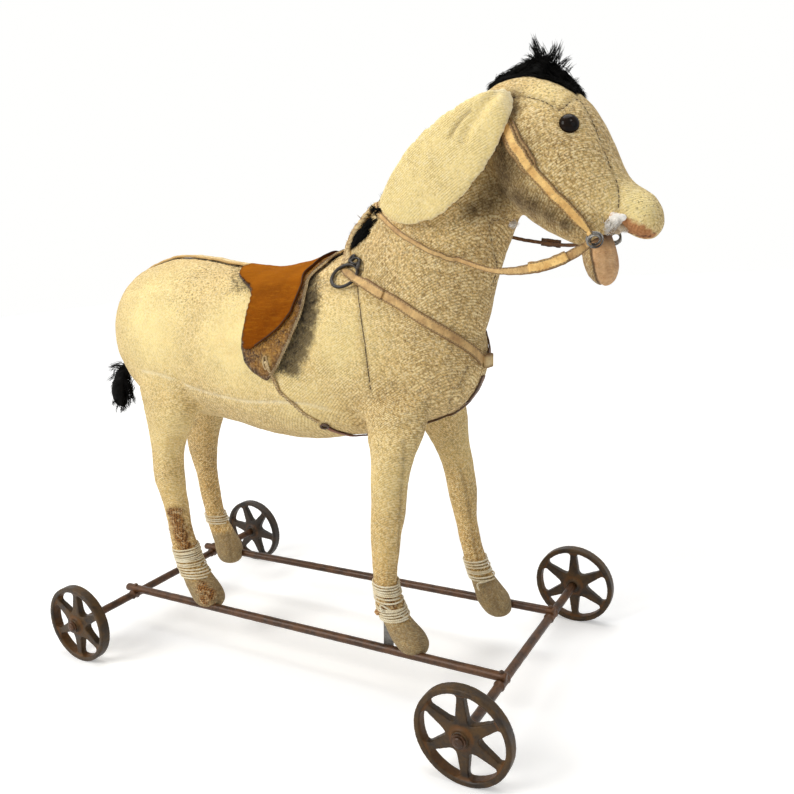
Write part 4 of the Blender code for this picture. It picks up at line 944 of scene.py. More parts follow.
def opening_cutter(turn):
    """A rounded triangle between two spokes, drawn flat, its corners bevelled, and pulled up."""
    corner = math.pi / SPOKES - math.asin(HALF_SPOKE / OPENING_OUTSIDE)
    outline = [(OPENING_TIP, 0)] + [(OPENING_OUTSIDE, corner * share)
                                    for share in (-1, -0.6, -0.2, 0.2, 0.6, 1)]
    mesh = bpy.data.meshes.new("opening")
    mesh.from_pydata([(r * math.cos(turn + a), r * math.sin(turn + a), -0.012) for r, a in outline], [],
                     [tuple(range(len(outline)))])
    piece = link_mesh("opening", mesh)
    select_only(piece)
    for part in list(mesh.edges) + list(mesh.polygons):
        part.select = False
    for vertex in mesh.vertices:
        vertex.select = vertex.index in (0, 1, len(outline) - 1)
    bpy.ops.object.mode_set(mode="EDIT")
    bpy.ops.mesh.select_mode(type="VERT")
    bpy.ops.mesh.bevel(offset=0.0048, segments=5, affect="VERTICES")
    bpy.ops.mesh.select_all(action="SELECT")
    bpy.ops.mesh.extrude_region_move(TRANSFORM_OT_translate={"value": (0, 0, 0.024)})
    bpy.ops.mesh.select_all(action="SELECT")
    bpy.ops.mesh.remove_doubles(threshold=0.00001)
    bpy.ops.mesh.normals_make_consistent(inside=False)
    bpy.ops.object.mode_set(mode="OBJECT")
    return piece


casting = spun("casting", WHEEL_SECTION)
cutter = joined([opening_cutter((i + 0.5) * 2 * math.pi / SPOKES) for i in range(SPOKES)], "openings")
cut = casting.modifiers.new("openings", "BOOLEAN")
cut.operation = "DIFFERENCE"
cut.solver = "EXACT"
cut.object = cutter
apply_all(casting)
remeshed(casting, CASTING_VOXEL)
softened(casting, 5)
bpy.data.objects.remove(cutter, do_unlink=True)
table = points_of(casting)
roughened(casting, 0.00012, 0.0022, 4.4)
radius = np.hypot(table[:, 0], table[:, 1])
inner_joint = np.exp(-((radius - 0.009) / 0.0022) ** 2)
outer_joint = np.exp(-((radius - 0.0342) / 0.0016) ** 2) * (np.abs(table[:, 2]) < 0.0045)
store(casting, "rust", 0.45 * np.maximum(inner_joint, outer_joint))
print("wheel:", len(casting.data.polygons), "faces")

# %% The casting's finish


def iron_finish(name, dark, light, rust, roughness, rust_amount):
    """Old iron: a brown skin that has worn shiny in patches, and orange rust where damp sits."""
    finish, shader, place = start_finish(name, roughness, Metallic=0.15, Specular_IOR_Level=0.35)
    patch = noise(place, 70, 5, 0.65)
    speck = noise(place, 420, 5, 0.7)
    tone = mixed(spread(patch, 0.38, 0.62), dark, light)
    tone = mixed(spread(speck, 0.5, 0.7, 0, 0.55), tone, colour(0.025, 0.016, 0.01))
    orange = stored(place, "rust") + (noise(place, 110, 5, 0.7) - 0.62)
    orange = spread(orange, 0, 0.45) * rust_amount
    tone = mixed(orange, tone, rust)
    paint(shader, tone)
    rough = spread(patch, 0.35, 0.7, roughness - 0.12, roughness + 0.12) + orange * 0.25
    paint(shader, rough, "Roughness")
    relief(shader, patch * 1.5 + speck, 0.0003, 0.7)
    return finish


cast_iron = iron_finish("patina_cast_iron", colour(0.016, 0.008, 0.002), colour(0.075, 0.038, 0.009),
                        colour(0.16, 0.06, 0.01), 0.5, 0.6)
# painted shade: a darker copy of the cast iron, for the far rear wheel
shaded_wheel_iron = iron_finish("shaded_cast_iron", colour(0.01, 0.006, 0.003), colour(0.036, 0.02, 0.008),
                        colour(0.11, 0.045, 0.012), 0.5, 0.45)
rusty_steel = iron_finish("rusty_rod_steel", colour(0.04, 0.017, 0.006), colour(0.115, 0.05, 0.019),
                          colour(0.17, 0.065, 0.018), 0.4, 0.5)

# %% Four copies, each on its own roller
for end, x in AXLE_X.items():
    for side_name, side in SIDES.items():
        corner = end + "_" + side_name
        wheel = link_mesh(corner + "_cast_wheel", casting.data.copy())
        spokes = Matrix.Rotation(-side * math.radians(SPOKE_TURNS[corner]), 4, "Z")
        upright = Matrix.Rotation(-side * math.pi / 2, 4, "X")
        wheel.data.transform(Matrix.Translation((x, side * TRACK / 2, WHEEL_RADIUS)) @ upright @ spokes)
        # the far rear wheel gets the darker copy of the iron, painted shade
        dress(wheel, shaded_wheel_iron if corner == "rear_left" else cast_iron)
        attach(wheel, corner + "_roller")
        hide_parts(corner + "_wheel")
        print(wheel.name, "lowest point", round(1000 * points_of(wheel)[:, 2].min(), 2), "mm")
bpy.data.objects.remove(casting, do_unlink=True)

# %% [markdown]
# ## Axles and rails
# The frame is plain round bar, brown with rust. Each axle is turned down at its ends for the wheels and
# wears a sleeve where a rail is brazed to it. A turned piece is a section spun round its own line, so
# both axles come from one section, and the rails are cylinders with rounded ends.

# %% Axles
AXLE_RADIUS = 0.004
STUB_RADIUS = 0.0028
HUB_INSIDE = 0.007
HUB_OUTSIDE = 0.008
RAIL_Y = 0.0612
ROD_STEPS = 40
SHOULDER = TRACK / 2 - HUB_INSIDE - 0.0004
AXLE_END = TRACK / 2 + HUB_OUTSIDE + 0.0004 + 0.0012 + 0.0003
HALF_AXLE = [(0.0014, AXLE_END + 0.0018), (0.003, AXLE_END + 0.0016), (0.0041, AXLE_END + 0.0009),
             (0.0044, AXLE_END + 0.0002), (0.0043, AXLE_END), (STUB_RADIUS, AXLE_END),
             (STUB_RADIUS, SHOULDER), (0.0037, SHOULDER), (AXLE_RADIUS, SHOULDER - 0.0005),
             (AXLE_RADIUS, RAIL_Y + 0.0078), (0.0047, RAIL_Y + 0.0072), (0.005, RAIL_Y + 0.0064),
             (0.0047, RAIL_Y + 0.0056), (0.0045, RAIL_Y + 0.005), (0.0045, RAIL_Y - 0.005),
             (0.0047, RAIL_Y - 0.0056), (0.005, RAIL_Y - 0.0064), (0.0047, RAIL_Y - 0.0072),
             (AXLE_RADIUS, RAIL_Y - 0.0078)]


def lay_along_y(piece, x, z):
    piece.data.transform(Matrix.Translation((x, 0, z)) @ Matrix.Rotation(-math.pi / 2, 4, "X"))
    piece.data.update()


def long_section(half):
    """The whole section of a turned bar from the axis, with rings along it for its pits."""
    whole = [(0.00005, half[0][1])] + half + [(r, -y) for r, y in reversed(half)] + [(0.00005, -half[0][1])]
    found = []
    for (r1, y1), (r2, y2) in zip(whole, whole[1:]):
        count = max(1, int(abs(y2 - y1) / 0.0035))
        found += [(r1 + (r2 - r1) * i / count, y1 + (y2 - y1) * i / count) for i in range(count)]
    return found + [whole[-1]]


for end, x in AXLE_X.items():
    axle = spun(end + "_turned_axle", long_section(HALF_AXLE), ROD_STEPS)
    lay_along_y(axle, x, WHEEL_RADIUS)
    roughened(axle, 0.00016, 0.006, 6.1)
    axle.data.materials.append(rusty_steel)
    table = points_of(axle)
    near_rail = np.exp(-((np.abs(table[:, 1]) - RAIL_Y) / 0.01) ** 2)
    store(axle, "rust", 0.35 * near_rail)
    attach(axle, BODY)
    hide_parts(end + "_axle")
    print(axle.name, len(axle.data.polygons), "faces")

# %% Rails and their brazed joints
RAIL_RADIUS = 0.004
RAIL_TAIL = 0.013
RAIL_NOSE = 0.0045

for side_name, side in SIDES.items():
    start = AXLE_X["rear"] - RAIL_TAIL
    finish_x = AXLE_X["front"] + RAIL_NOSE
    half = [(0.0026, (finish_x - start) / 2), (0.0036, (finish_x - start) / 2 - 0.0005),
            (RAIL_RADIUS, (finish_x - start) / 2 - 0.0014)]
    rail = spun(side_name + "_round_rail", long_section(half), ROD_STEPS)
    middle = Matrix.Translation(((start + finish_x) / 2, side * RAIL_Y, RAIL_HEIGHT))
    rail.data.transform(middle @ Matrix.Rotation(math.pi / 2, 4, "Y"))
    roughened(rail, 0.00016, 0.007, 9.3)
    rail.data.materials.append(rusty_steel)
    table = points_of(rail)
    ends = np.minimum(np.abs(table[:, 0] - AXLE_X["rear"]), np.abs(table[:, 0] - AXLE_X["front"]))
    store(rail, "rust", 0.4 * np.exp(-(ends / 0.012) ** 2))
    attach(rail, BODY)
    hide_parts(side_name + "_rail")
    print(rail.name, len(rail.data.polygons), "faces")

# %% What keeps its solid: rivets, washers and the irons in the legs
iron_strip = iron_finish("blue_grey_strip", colour(0.14, 0.13, 0.12), colour(0.27, 0.26, 0.24),
                         colour(0.16, 0.08, 0.04), 0.55, 0.4)
for name, node in nodes.items():
    if name.endswith(("_rivet", "_washer", "_iron")):
        node.data.materials.clear()
        node.data.materials.append(iron_strip if name.endswith("_iron") else rusty_steel)

# %% [markdown]
# ## Straps, string and wire
# Harness straps are flat strips with rounded edges, string is a thin tube, and both are one section
# carried along a line. A curve object could do it, but a strap's width, creases and frayed edges change
# along its way, so the rings are placed by a small helper, which also writes a UV map: how far across,
# and how many metres along. The finish uses that map for dark edges and rows of stitches.

# %% Strips along a line
STRAP_THICKNESS = 0.0015
STRIP_STEP = 0.0016
SECTION = [(-1, 0), (-0.94, 0.42), (-0.8, 0.5), (-0.7, 0.38), (-0.6, 0.5), (0, 0.56), (0.6, 0.5),
           (0.7, 0.38), (0.8, 0.5), (0.94, 0.42), (1, 0), (0.94, -0.42), (0.6, -0.5), (0, -0.5),
           (-0.6, -0.5), (-0.94, -0.42)]
ROUND_SIDES = 10


def averaged(table, reach):
    """Each row averaged with its neighbours on both sides."""
    padded = np.concatenate([np.repeat(table[:1], reach, 0), table, np.repeat(table[-1:], reach, 0)])
    return sum(padded[i:i + len(table)] for i in range(2 * reach + 1)) / (2 * reach + 1)


def swept(name, rings, shares, finish, cyclic=False):
    """A closed solid through rings of points, with the UV map strip: share across, metres along."""
    count = len(rings[0])
    points = [point for ring in rings for point in ring]
    middles = np.array([np.mean([tuple(point) for point in ring], axis=0) for ring in rings])
    along = np.concatenate([[0], np.cumsum(np.linalg.norm(np.diff(middles, axis=0), axis=1))])
    spans = len(rings) if cyclic else len(rings) - 1
    faces = []
    places = []
    for i in range(spans):
        a = i * count
        b = (i + 1) % len(rings) * count
        far = along[i + 1] if i + 1 < len(rings) else along[-1] + along[1]
        for k in range(count):
            n = (k + 1) % count
            faces.append((a + k, a + n, b + n, b + k))
            u = shares[n] if n or shares[0] == shares[-1] else 1.0
            places += [(shares[k], along[i]), (u, along[i]), (u, far), (shares[k], far)]
    if not cyclic:
        faces.append(tuple(range(count))[::-1])
        places += [(shares[k], 0) for k in range(count)[::-1]]
        last = len(points) - count
        faces.append(tuple(range(last, last + count)))
        places += [(shares[k], along[-1]) for k in range(count)]
    mesh = bpy.data.meshes.new(name)
    mesh.from_pydata(points, [], faces)
    mesh.uv_layers.new(name="strip").data.foreach_set("uv", [value for place in places for value in place])
    work = bmesh.new()
    work.from_mesh(mesh)
    bmesh.ops.recalc_face_normals(work, faces=work.faces)
    work.to_mesh(mesh)
    work.free()
    mesh.materials.append(finish)
    mesh.shade_smooth()
    return link_mesh(name, mesh)


def strip(name, path, width, thickness, finish, waver=0.0, creased=0.0, seed=1.0):
    """A strap through a path of centres and sideways directions. The width is a number or one per point."""
    rings = []
    widths = width if hasattr(width, "__len__") else [width] * len(path)
    for i, (centre, across) in enumerate(path):
        along = (path[min(i + 1, len(path) - 1)][0] - path[max(i - 1, 0)][0]).normalized()
        across = (across - along * across.dot(along)).normalized()
        up = along.cross(across).normalized()
        ring = []
        for share, high in SECTION:
            edge = noise_at(Vector((i * 0.35, seed, 3.0 if share > 0 else 9.0)))
            half = widths[i] / 2 + waver * edge
            rise = creased * noise_at(Vector((i * 0.45, share, seed + 5.0)))
            ring.append(centre + across * (share * half) + up * (high * thickness + rise))
        rings.append(ring)
    return swept(name, rings, [0.5 + share / 2 for share, _ in SECTION], finish)


def tube(name, points, radius, finish, sides=ROUND_SIDES, cyclic=False):
    """A round section along points. The radius is a number or one for each point."""
    rings = []
    radii = radius if hasattr(radius, "__len__") else [radius] * len(points)
    across = None
    for i, point in enumerate(points):
        after = points[(i + 1) % len(points)] if cyclic else points[min(i + 1, len(points) - 1)]
        before = points[i - 1] if cyclic else points[max(i - 1, 0)]
        along = (after - before).normalized()
        if across is None:
            across = along.orthogonal().normalized()
        across = (across - along * across.dot(along)).normalized()
        up = along.cross(across)
        turns = [2 * math.pi * k / sides for k in range(sides)]
        rings.append([point + (across * math.cos(t) + up * math.sin(t)) * radii[i] for t in turns])
    if cyclic:
        turned = min(range(sides), key=lambda k: (rings[0][k] - rings[-1][0]).length)
        rings = [ring if i < len(rings) - 1 else ring[-turned:] + ring[:-turned]
                 for i, ring in enumerate(rings)]
    return swept(name, rings, [k / sides for k in range(sides)], finish, cyclic)


def laid(route, width, lift, step=STRIP_STEP):
    """Centres and sideways directions of a strip that lies on the cloth along a route."""
    line = smooth_line([at(*spot) for spot in route], step)
    found = [nearest(point) for point in line]
    places = averaged(np.array([tuple(hit[0]) for hit in found]), 2)
    outs = averaged(np.array([tuple(hit[1]) for hit in found]), 6)
    outs /= np.linalg.norm(outs, axis=1)[:, None]
    along = np.gradient(places, axis=0)
    across = np.cross(outs, along)
    across /= np.linalg.norm(across, axis=1)[:, None]
    rises = []
    for place, out, side in zip(places, outs, across):
        rise = 0.0
        for share in (-0.5, -0.25, 0, 0.25, 0.5):
            start = Vector(place + side * share * width + out * 0.02)
            hit = COVER_TREE.ray_cast(start, -Vector(out), 0.04)[0]
            if hit:
                rise = max(rise, (hit - Vector(place)).dot(Vector(out)))
        rises.append(rise)
    rises = np.array([max(rises[max(0, i - 2):i + 3]) for i in range(len(rises))])
    rises = averaged(rises[:, None], 3)[:, 0]
    centres = places + outs * (rises + lift)[:, None]
    return [(Vector(centre), Vector(side)) for centre, side in zip(centres, across)]


def sided(path, side):
    """A path of the right side as it is, or mirrored for the left."""
    if side < 0:
        return path
    return [(mirrored(centre, side), -mirrored(across, side)) for centre, across in path]


def ramp(value, start, length):
    """0 up to the start, 1 from a length after it, and straight in between."""
    return min(1, max(0, (value - start) / length))


def loop_round(centre, out, towards, ring_radius, bend):
    """The bend of a strap round a ring's wire, from on top of the wire to underneath it."""
    along = (towards - out * towards.dot(out)).normalized()
    side = out.cross(along).normalized()
    wire = centre + along * ring_radius
    turns = [math.radians(65 + 230 * i / 14) for i in range(15)]
    return [(wire + along * (bend * math.cos(t)) + out * (bend * math.sin(t)), side) for t in turns]


def one_sided(path):
    """The same path with every sideways direction on the first one's side."""
    found = [path[0]]
    for centre, side in path[1:]:
        found.append((centre, side if side.dot(found[-1][1]) > 0.0 else -side))
    return found


def finer(path, step=STRIP_STEP):
    """The path smoothed and evenly spaced."""
    centres = smooth_line([centre for centre, _ in path], step)
    tree = point_tree([centre for centre, _ in path])
    sides = []
    for centre in centres:
        near = tree.find_n(centre, 2)
        side = Vector()
        for _, i, apart in near:
            side += path[i][1] / (apart + 0.0004)
        sides.append(side.normalized())
    return list(zip(centres, sides))


# %% Leather
STITCH_PITCH = 0.0026


def across_and_along(place):
    """Share across, and metres along, from the strip's own UV map."""
    return axes_of(Signal(add_node(place.tree, "ShaderNodeUVMap", uv_map="strip").outputs[0]))[:2]


def leather(name, dark, light, edge, roughness=0.62, stitches=True, edge_width=0.1):
    """Old strap leather: dry and dirty, with dark edges, cracks across it, and a row of stitches."""
    finish, shader, place = start_finish(name, roughness)
    across, along = across_and_along(place)
    from_middle = abs(across - 0.5)
    blotch = noise(place, 120, 5, 0.65)
    grain = noise(place, 900, 4, 0.6)
    tone = mixed(spread(blotch, 0.36, 0.64), dark, light)
    crack = spread(noise(place_from(across * 1.2, along * 700.0, 0), 1, 3, 0.6, 0.4), 0.6, 0.72)
    tone = mixed(crack * 0.45, tone, edge)
    tone = mixed(spread(grain, 0.55, 0.75, 0, 0.3), tone, edge)
    ragged = from_middle + (blotch - 0.5) * 0.14
    rim = spread(ragged, 0.5 - 1.6 * edge_width, 0.5 - 0.35 * edge_width)
    tone = mixed(rim * 0.85, tone, edge)
    height = grain - crack * 0.8
    if stitches:
        turn = calc("FRACT", along / STITCH_PITCH)
        dash = spread(turn, 0.08, 0.16) * spread(turn, 0.78, 0.68)
        row = abs(from_middle - 0.35)
        row = spread(row, 0.045, 0.025)
        thread = row * dash
        hole = row * (1.0 - dash)
        tone = mixed(thread * 0.55, tone, colour(0.5, 0.36, 0.18))
        tone = mixed(hole * 0.75, tone, colour(0.04, 0.02, 0.01))
        height = height + thread * 1.2
    paint(shader, tone)
    paint(shader, spread(blotch, 0.3, 0.7, roughness - 0.14, roughness + 0.16), "Roughness")
    relief(shader, height, 0.0003, 0.8)
    return finish


tan_leather = leather("tan_strap_leather", colour(0.42, 0.235, 0.08), colour(0.74, 0.49, 0.2),
                      colour(0.13, 0.06, 0.02))
cheek_leather = leather("folded_cheek_leather", colour(0.62, 0.33, 0.085), colour(0.98, 0.66, 0.24),
                        colour(0.09, 0.038, 0.012), edge_width=0.13)
brown_leather = leather("dark_strap_leather", colour(0.1, 0.045, 0.018), colour(0.24, 0.11, 0.045),
                        colour(0.04, 0.02, 0.01), 0.5, False)
pale_leather = leather("pale_raw_leather", colour(0.56, 0.38, 0.16), colour(0.8, 0.63, 0.34),
                       colour(0.22, 0.12, 0.05), 0.8, False, 0.16)


def strap_piece(piece, *cad, slot_name="tan_leather"):
    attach(piece, BODY)
    if cad:
        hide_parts(*cad)
    print(piece.name, len(piece.data.polygons), "faces")
    return piece


# %% [markdown]
# ## Harness rings, breast straps and the tie over the withers
# Two wire rings lie on the shoulders. A breast strap folds round each one, is sewn to itself, and runs
# to a keeper on the chest. A plaited cord of raw leather ties the rings together over the withers. The
# rings are tori laid flat on the cloth, and the straps are strips along their routes.

# %% Wire rings
HARNESS_RING_RADIUS = 0.0125
HARNESS_WIRE = 0.0011
BREAST_ROUTE = [(0.1045, -0.046, 0.3235), (0.113, -0.0475, 0.3187), (0.121, -0.0485, 0.3145),
                (0.129, -0.049, 0.3103), (0.1375, -0.0485, 0.305), (0.1455, -0.0465, 0.2995),
                (0.153, -0.044, 0.294), (0.16, -0.0405, 0.2885), (0.1665, -0.036, 0.283),
                (0.1725, -0.031, 0.2775), (0.178, -0.0255, 0.272), (0.183, -0.0195, 0.266),
                (0.1865, -0.013, 0.26), (0.1885, -0.0055, 0.252)]
CLASP = ((0.0085, 0.012, 0.004), (0.002, 0.015, 0.0034), (0.0135, 0.0085, 0.003))

black_wire = iron_finish("black_wire", colour(0.015, 0.013, 0.012), colour(0.055, 0.045, 0.035),
                         colour(0.16, 0.07, 0.03), 0.35, 0.5)


def middle_of(node):
    low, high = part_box(node)
    return (Vector(low) + Vector(high)) / 2


def wire_ring(name, centre, out, radius, wire, squash=1.0, turn=0.0):
    """A ring of wire, a little out of round."""
    bpy.ops.object.select_all(action="DESELECT")
    bpy.ops.mesh.primitive_torus_add(major_radius=radius, minor_radius=wire, major_segments=56,
                                     minor_segments=12)
    ring = bpy.context.active_object
    ring.name = name
    lean = out.to_track_quat("Z", "Y").to_matrix().to_4x4()
    shape = Matrix.Diagonal((1, squash, 1, 1))
    ring.data.transform(Matrix.Translation(centre) @ lean @ Matrix.Rotation(turn, 4, "Z") @ shape)
    ring.data.update()
    ring.data.shade_smooth()
    ring.data.materials.append(black_wire)
    return ring


def way_round(spot, reach):
    """The mean way out of the cover round a place."""
    steps = (-reach, 0, reach)
    return sum((nearest(spot + Vector((dx, 0, dz)))[1] for dx in steps for dz in steps),
               Vector()).normalized()


def flat_rest(centre, out, radius, clear):
    """A ring's centre moved out until the whole ring is clear of the cloth."""
    across = out.orthogonal().normalized()
    other = out.cross(across)
    rise = -1.0
    for i in range(24):
        t = 2 * math.pi * i / 24
        start = centre + (across * math.cos(t) + other * math.sin(t)) * radius + out * 0.02
        hit = COVER_TREE.ray_cast(start, -out, 0.05)[0]
        if hit:
            rise = max(rise, (hit - centre).dot(out))
    return centre + out * (rise + clear)


ring_spot, _ = nearest(middle_of("right_harness_ring"))
RING_OUT = way_round(ring_spot, 0.01)
RING_CENTRE = flat_rest(ring_spot, RING_OUT, HARNESS_RING_RADIUS, HARNESS_WIRE + 0.0006)
for side_name, side in SIDES.items():
    centre = mirrored(RING_CENTRE, side)
    out = mirrored(RING_OUT, side)
    ring = wire_ring(side_name + "_wire_harness_ring", centre, out, HARNESS_RING_RADIUS,
                     1.45 * HARNESS_WIRE, 0.84, -0.45 * side)
    strap_piece(ring, side_name + "_harness_ring", slot_name="black_wire")
    clasp = []
    for k, (dx, dz, size) in enumerate(CLASP):
        spot, way = nearest(centre + Vector((dx, 0, dz)))
        lean = (way + Vector((0.5 - 0.5 * k, 0, 0.4))).normalized()
        clasp.append(wire_ring("clasp_loop", spot + way * 0.0034, lean, size, 0.0014, 0.62, 0.8 * k))
    strap_piece(joined(clasp, side_name + "_wire_clasp"), slot_name="black_wire")

# %% Breast straps
BREAST_WIDTH = 0.0092
route_path = laid(BREAST_ROUTE, BREAST_WIDTH, STRAP_THICKNESS / 2 + 0.0003)
first = [(c + (Vector(c) - nearest(c)[0]).normalized() * (STRAP_THICKNESS + 0.0004), a)
         for c, a in route_path[3:14]]
loop = loop_round(RING_CENTRE, RING_OUT, route_path[0][0] - RING_CENTRE, HARNESS_RING_RADIUS,
                  HARNESS_WIRE + STRAP_THICKNESS / 2 + 0.0004)
breast_path = finer(one_sided(first[::-1] + loop + route_path))
for side_name, side in SIDES.items():
    path = sided(breast_path, side)
    widths = []
    for centre, _ in path:
        from_ring = (centre - mirrored(RING_CENTRE, side)).length
        widths.append(0.0066 + (BREAST_WIDTH - 0.0066) * ramp(from_ring, 0.013, 0.012))
    strap = strip(side_name + "_breast_leather", path, widths, STRAP_THICKNESS, tan_leather if side < 0
                  else brown_leather, 0.0003, 0.0003, 2.0 + side)
    strap_piece(strap, side_name + "_breast_strap")

for side_name, side in SIDES.items():
    tongue = []
    for pixel in ((341, 268), (345, 271), (349, 274), (353, 277), (357, 280), (361, 283)):
        spot, way = on_cloth(pixel)
        across = way.cross(Vector((0.75, 0, -0.55))).normalized()
        tongue.append((spot + way * 0.0011, across))
    path = finer(one_sided(tongue))
    widths = [0.003 + 0.0048 * min(1, i / 7.0) for i in range(len(path))]
    piece = strip(side_name + "_strap_tongue", sided(path, side), widths, 0.0013, tan_leather, 0.0003,
                  0.0003, 3.0 + side)
    strap_piece(piece)

# %% Keeper and martingale
MARTINGALE_ROUTE = [(0.19, 0, 0.2385), (0.185, 0, 0.229), (0.177, 0, 0.219), (0.166, 0, 0.21),
                    (0.153, 0, 0.203), (0.14, 0, 0.198), (0.126, 0, 0.1935), (0.112, 0, 0.1895),
                    (0.098, 0, 0.186), (0.084, 0, 0.183), (0.07, 0, 0.18)]
martingale = strip("martingale_leather", laid(MARTINGALE_ROUTE, 0.007, 0.0011), 0.0068, STRAP_THICKNESS,
                   brown_leather, 0.0003, 0.0003, 7)
strap_piece(martingale, "martingale_strap")

low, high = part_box("breast_keeper")
middle = middle_of("breast_keeper")
turn_points = []
for i in range(40):
    t = 2 * math.pi * i / 40
    wide = 0.005 * abs(math.cos(t)) ** 0.6 * math.copysign(1, math.cos(t))
    deep = 0.0021 * abs(math.sin(t)) ** 0.6 * math.copysign(1, math.sin(t))
    turn_points.append((Vector((middle.x + deep, wide, middle.z)), Vector((0.06, 0, 1))))
keeper_ends = turn_points[8:] + turn_points[:10]
keeper = strip("keeper_leather", [(c + Vector((0.0006 * (i > 31), 0, 0)), a)
                                  for i, (c, a) in enumerate(keeper_ends)], 0.0115, 0.0013, pale_leather,
               0.0002, 0.0002, 4)
strap_piece(keeper, "breast_keeper", slot_name="tan_leather")

# %% Plaited tie over the withers


def plait(name, line, outs, spread_out, thick, finish, strands, pitch):
    """Strands that cross over each other along a line on the cloth."""
    pieces = []
    total = 0.0
    run = [0]
    for one, two in zip(line, line[1:]):
        total += (two - one).length
        run.append(total)
    for k in range(strands):
        points = []
        for i, point in enumerate(line):
            along = (line[min(i + 1, len(line) - 1)] - line[max(i - 1, 0)]).normalized()
            side = outs[i].cross(along).normalized()
            t = 2 * math.pi * (run[i] / pitch + k / strands)
            points.append(point + side * (spread_out * math.sin(t))
                          + outs[i] * (0.5 * thick * math.sin(2 * t) + 0.8 * thick))
        pieces.append(tube(name + str(k), points, thick * 0.62, finish, 8))
    return joined(pieces, name)


TIE_PIXELS = [(349, 259), (350, 251), (353, 242), (357, 233), (362, 224), (367, 216)]


def edge_cloth(pixel):
    """The cloth behind a pixel, or where it first shows to the right of it."""
    for step in range(30):
        spot, way = on_cloth((pixel[0] + 0.5 * step, pixel[1]))
        if spot:
            return spot, way
    return None, None


half = [edge_cloth(pixel)[0] for pixel in TIE_PIXELS]
half = [RING_CENTRE + (half[0] - RING_CENTRE).normalized() * (HARNESS_RING_RADIUS - 0.0005)] + half
top = nearest(Vector((half[-1].x + 0.002, 0, half[-1].z + 0.004)))[0]
across_back = half + [top] + [mirrored(p, 1) for p in half[::-1]]
tie_line = smooth_line(across_back, 0.0009)
tie_outs = [nearest(point)[1] for point in tie_line]
tie_outs = [Vector(row).normalized() for row in averaged(table_of(tie_outs), 8)]
chance = random.Random(83)
loose_line = [point + jitter(chance, 0.00035) for point in tie_line]
loose_line = [Vector(row) for row in averaged(table_of(loose_line), 2)]
tie = plait("plaited_withers_tie", loose_line, tie_outs, 0.0038, 0.0026, pale_leather, 4, 0.0085)
strap_piece(tie, "withers_tie", slot_name="pale_leather")

# %% [markdown]
# ## Bridle
# The headstall comes from under the ear: a broad strip, folded and sewn, then a narrower one down to
# the bit ring, where it folds round the wire. The reins run from the rings along the neck to the
# withers. They are stiff old leather, so between ring and neck they keep their own curve.

# %% Bit rings
BIT_PLACE = (0.2905, -0.0285, 0.347)
BIT_RADIUS = 0.006
BIT_WIRE = 0.0009
bit_steel = iron_finish("worn_bit_steel", colour(0.05, 0.045, 0.04), colour(0.3, 0.29, 0.27),
                        colour(0.16, 0.07, 0.03), 0.32, 0.5)
bit_steel.node_tree.nodes["Principled BSDF"].inputs["Metallic"].default_value = 0.8
bit_centre = at(*BIT_PLACE)
bit_out = Vector((0, -1, 0))
for side_name, side in SIDES.items():
    centre = mirrored(bit_centre, side)
    out = Vector((0, side, 0))
    rings = [wire_ring("bit_loop", centre + out * shift, (out + Vector(lean)).normalized(),
                       BIT_RADIUS * size, BIT_WIRE * 0.8, squash, turn)
             for shift, lean, size, squash, turn in ((0, (0.55 * (side > 0), 0, 0), 1, 0.92, 0),
        (0.002, (0.45, 0, 0.3), 0.86, 0.8, 0.7), (-0.001, (-0.35, 0, 0.5), 0.78, 0.85, 1.9),
        (0.0012, (0.2, 0, -0.6), 0.7, 0.8, 0.4))]
    for ring in rings:
        ring.data.materials[0] = bit_steel
    strap_piece(joined(rings, side_name + "_wire_bit_ring"), side_name + "_bit_ring",
                slot_name="black_wire")

# %% Cheek straps
CHEEK_ROUTE = [(0.229, -0.055, 0.436), (0.236, -0.056, 0.4215), (0.241, -0.057, 0.412),
               (0.2465, -0.057, 0.401), (0.253, -0.056, 0.392), (0.26, -0.054, 0.3835),
               (0.267, -0.051, 0.374), (0.274, -0.046, 0.366)]
CHEEK_WIDE = 0.0135
CHEEK_NARROW = 0.0085
FOLD_END = 0.402
cheek = laid(CHEEK_ROUTE, CHEEK_WIDE, STRAP_THICKNESS / 2 + 0.0004)
loop = loop_round(bit_centre, bit_out, cheek[-1][0] - bit_centre, BIT_RADIUS,
                  BIT_WIRE + STRAP_THICKNESS / 2 + 0.0005)
cheek_path = finer(one_sided(cheek + loop[::-1]))
fold_height = at(0, 0, FOLD_END).z
for side_name, side in SIDES.items():
    path = sided(cheek_path, side)
    widths = []
    for centre, _ in path:
        wide = ramp(centre.z, fold_height - 0.004, 0.004)
        near_ring = ramp((centre - mirrored(bit_centre, side)).length, 0.008, 0.01)
        widths.append(0.0042 + (CHEEK_NARROW - 0.0042) * near_ring + (CHEEK_WIDE - CHEEK_NARROW) * wide)
    strap = strip(side_name + "_cheek_leather", path, widths, STRAP_THICKNESS, cheek_leather, 0.0003,
                  0.0004, 5.0 + side)
    strap_piece(strap, side_name + "_cheek_strap")
    folded = [(c + (c - nearest(c)[0]).normalized() * 0.0016, a) for c, a in path
              if c.z > fold_height - 0.002]
    flap = strip(side_name + "_cheek_fold", folded, 0.0088, 0.0013, cheek_leather, 0.0004, 0.0005,
                 8.0 + side)
    strap_piece(flap)

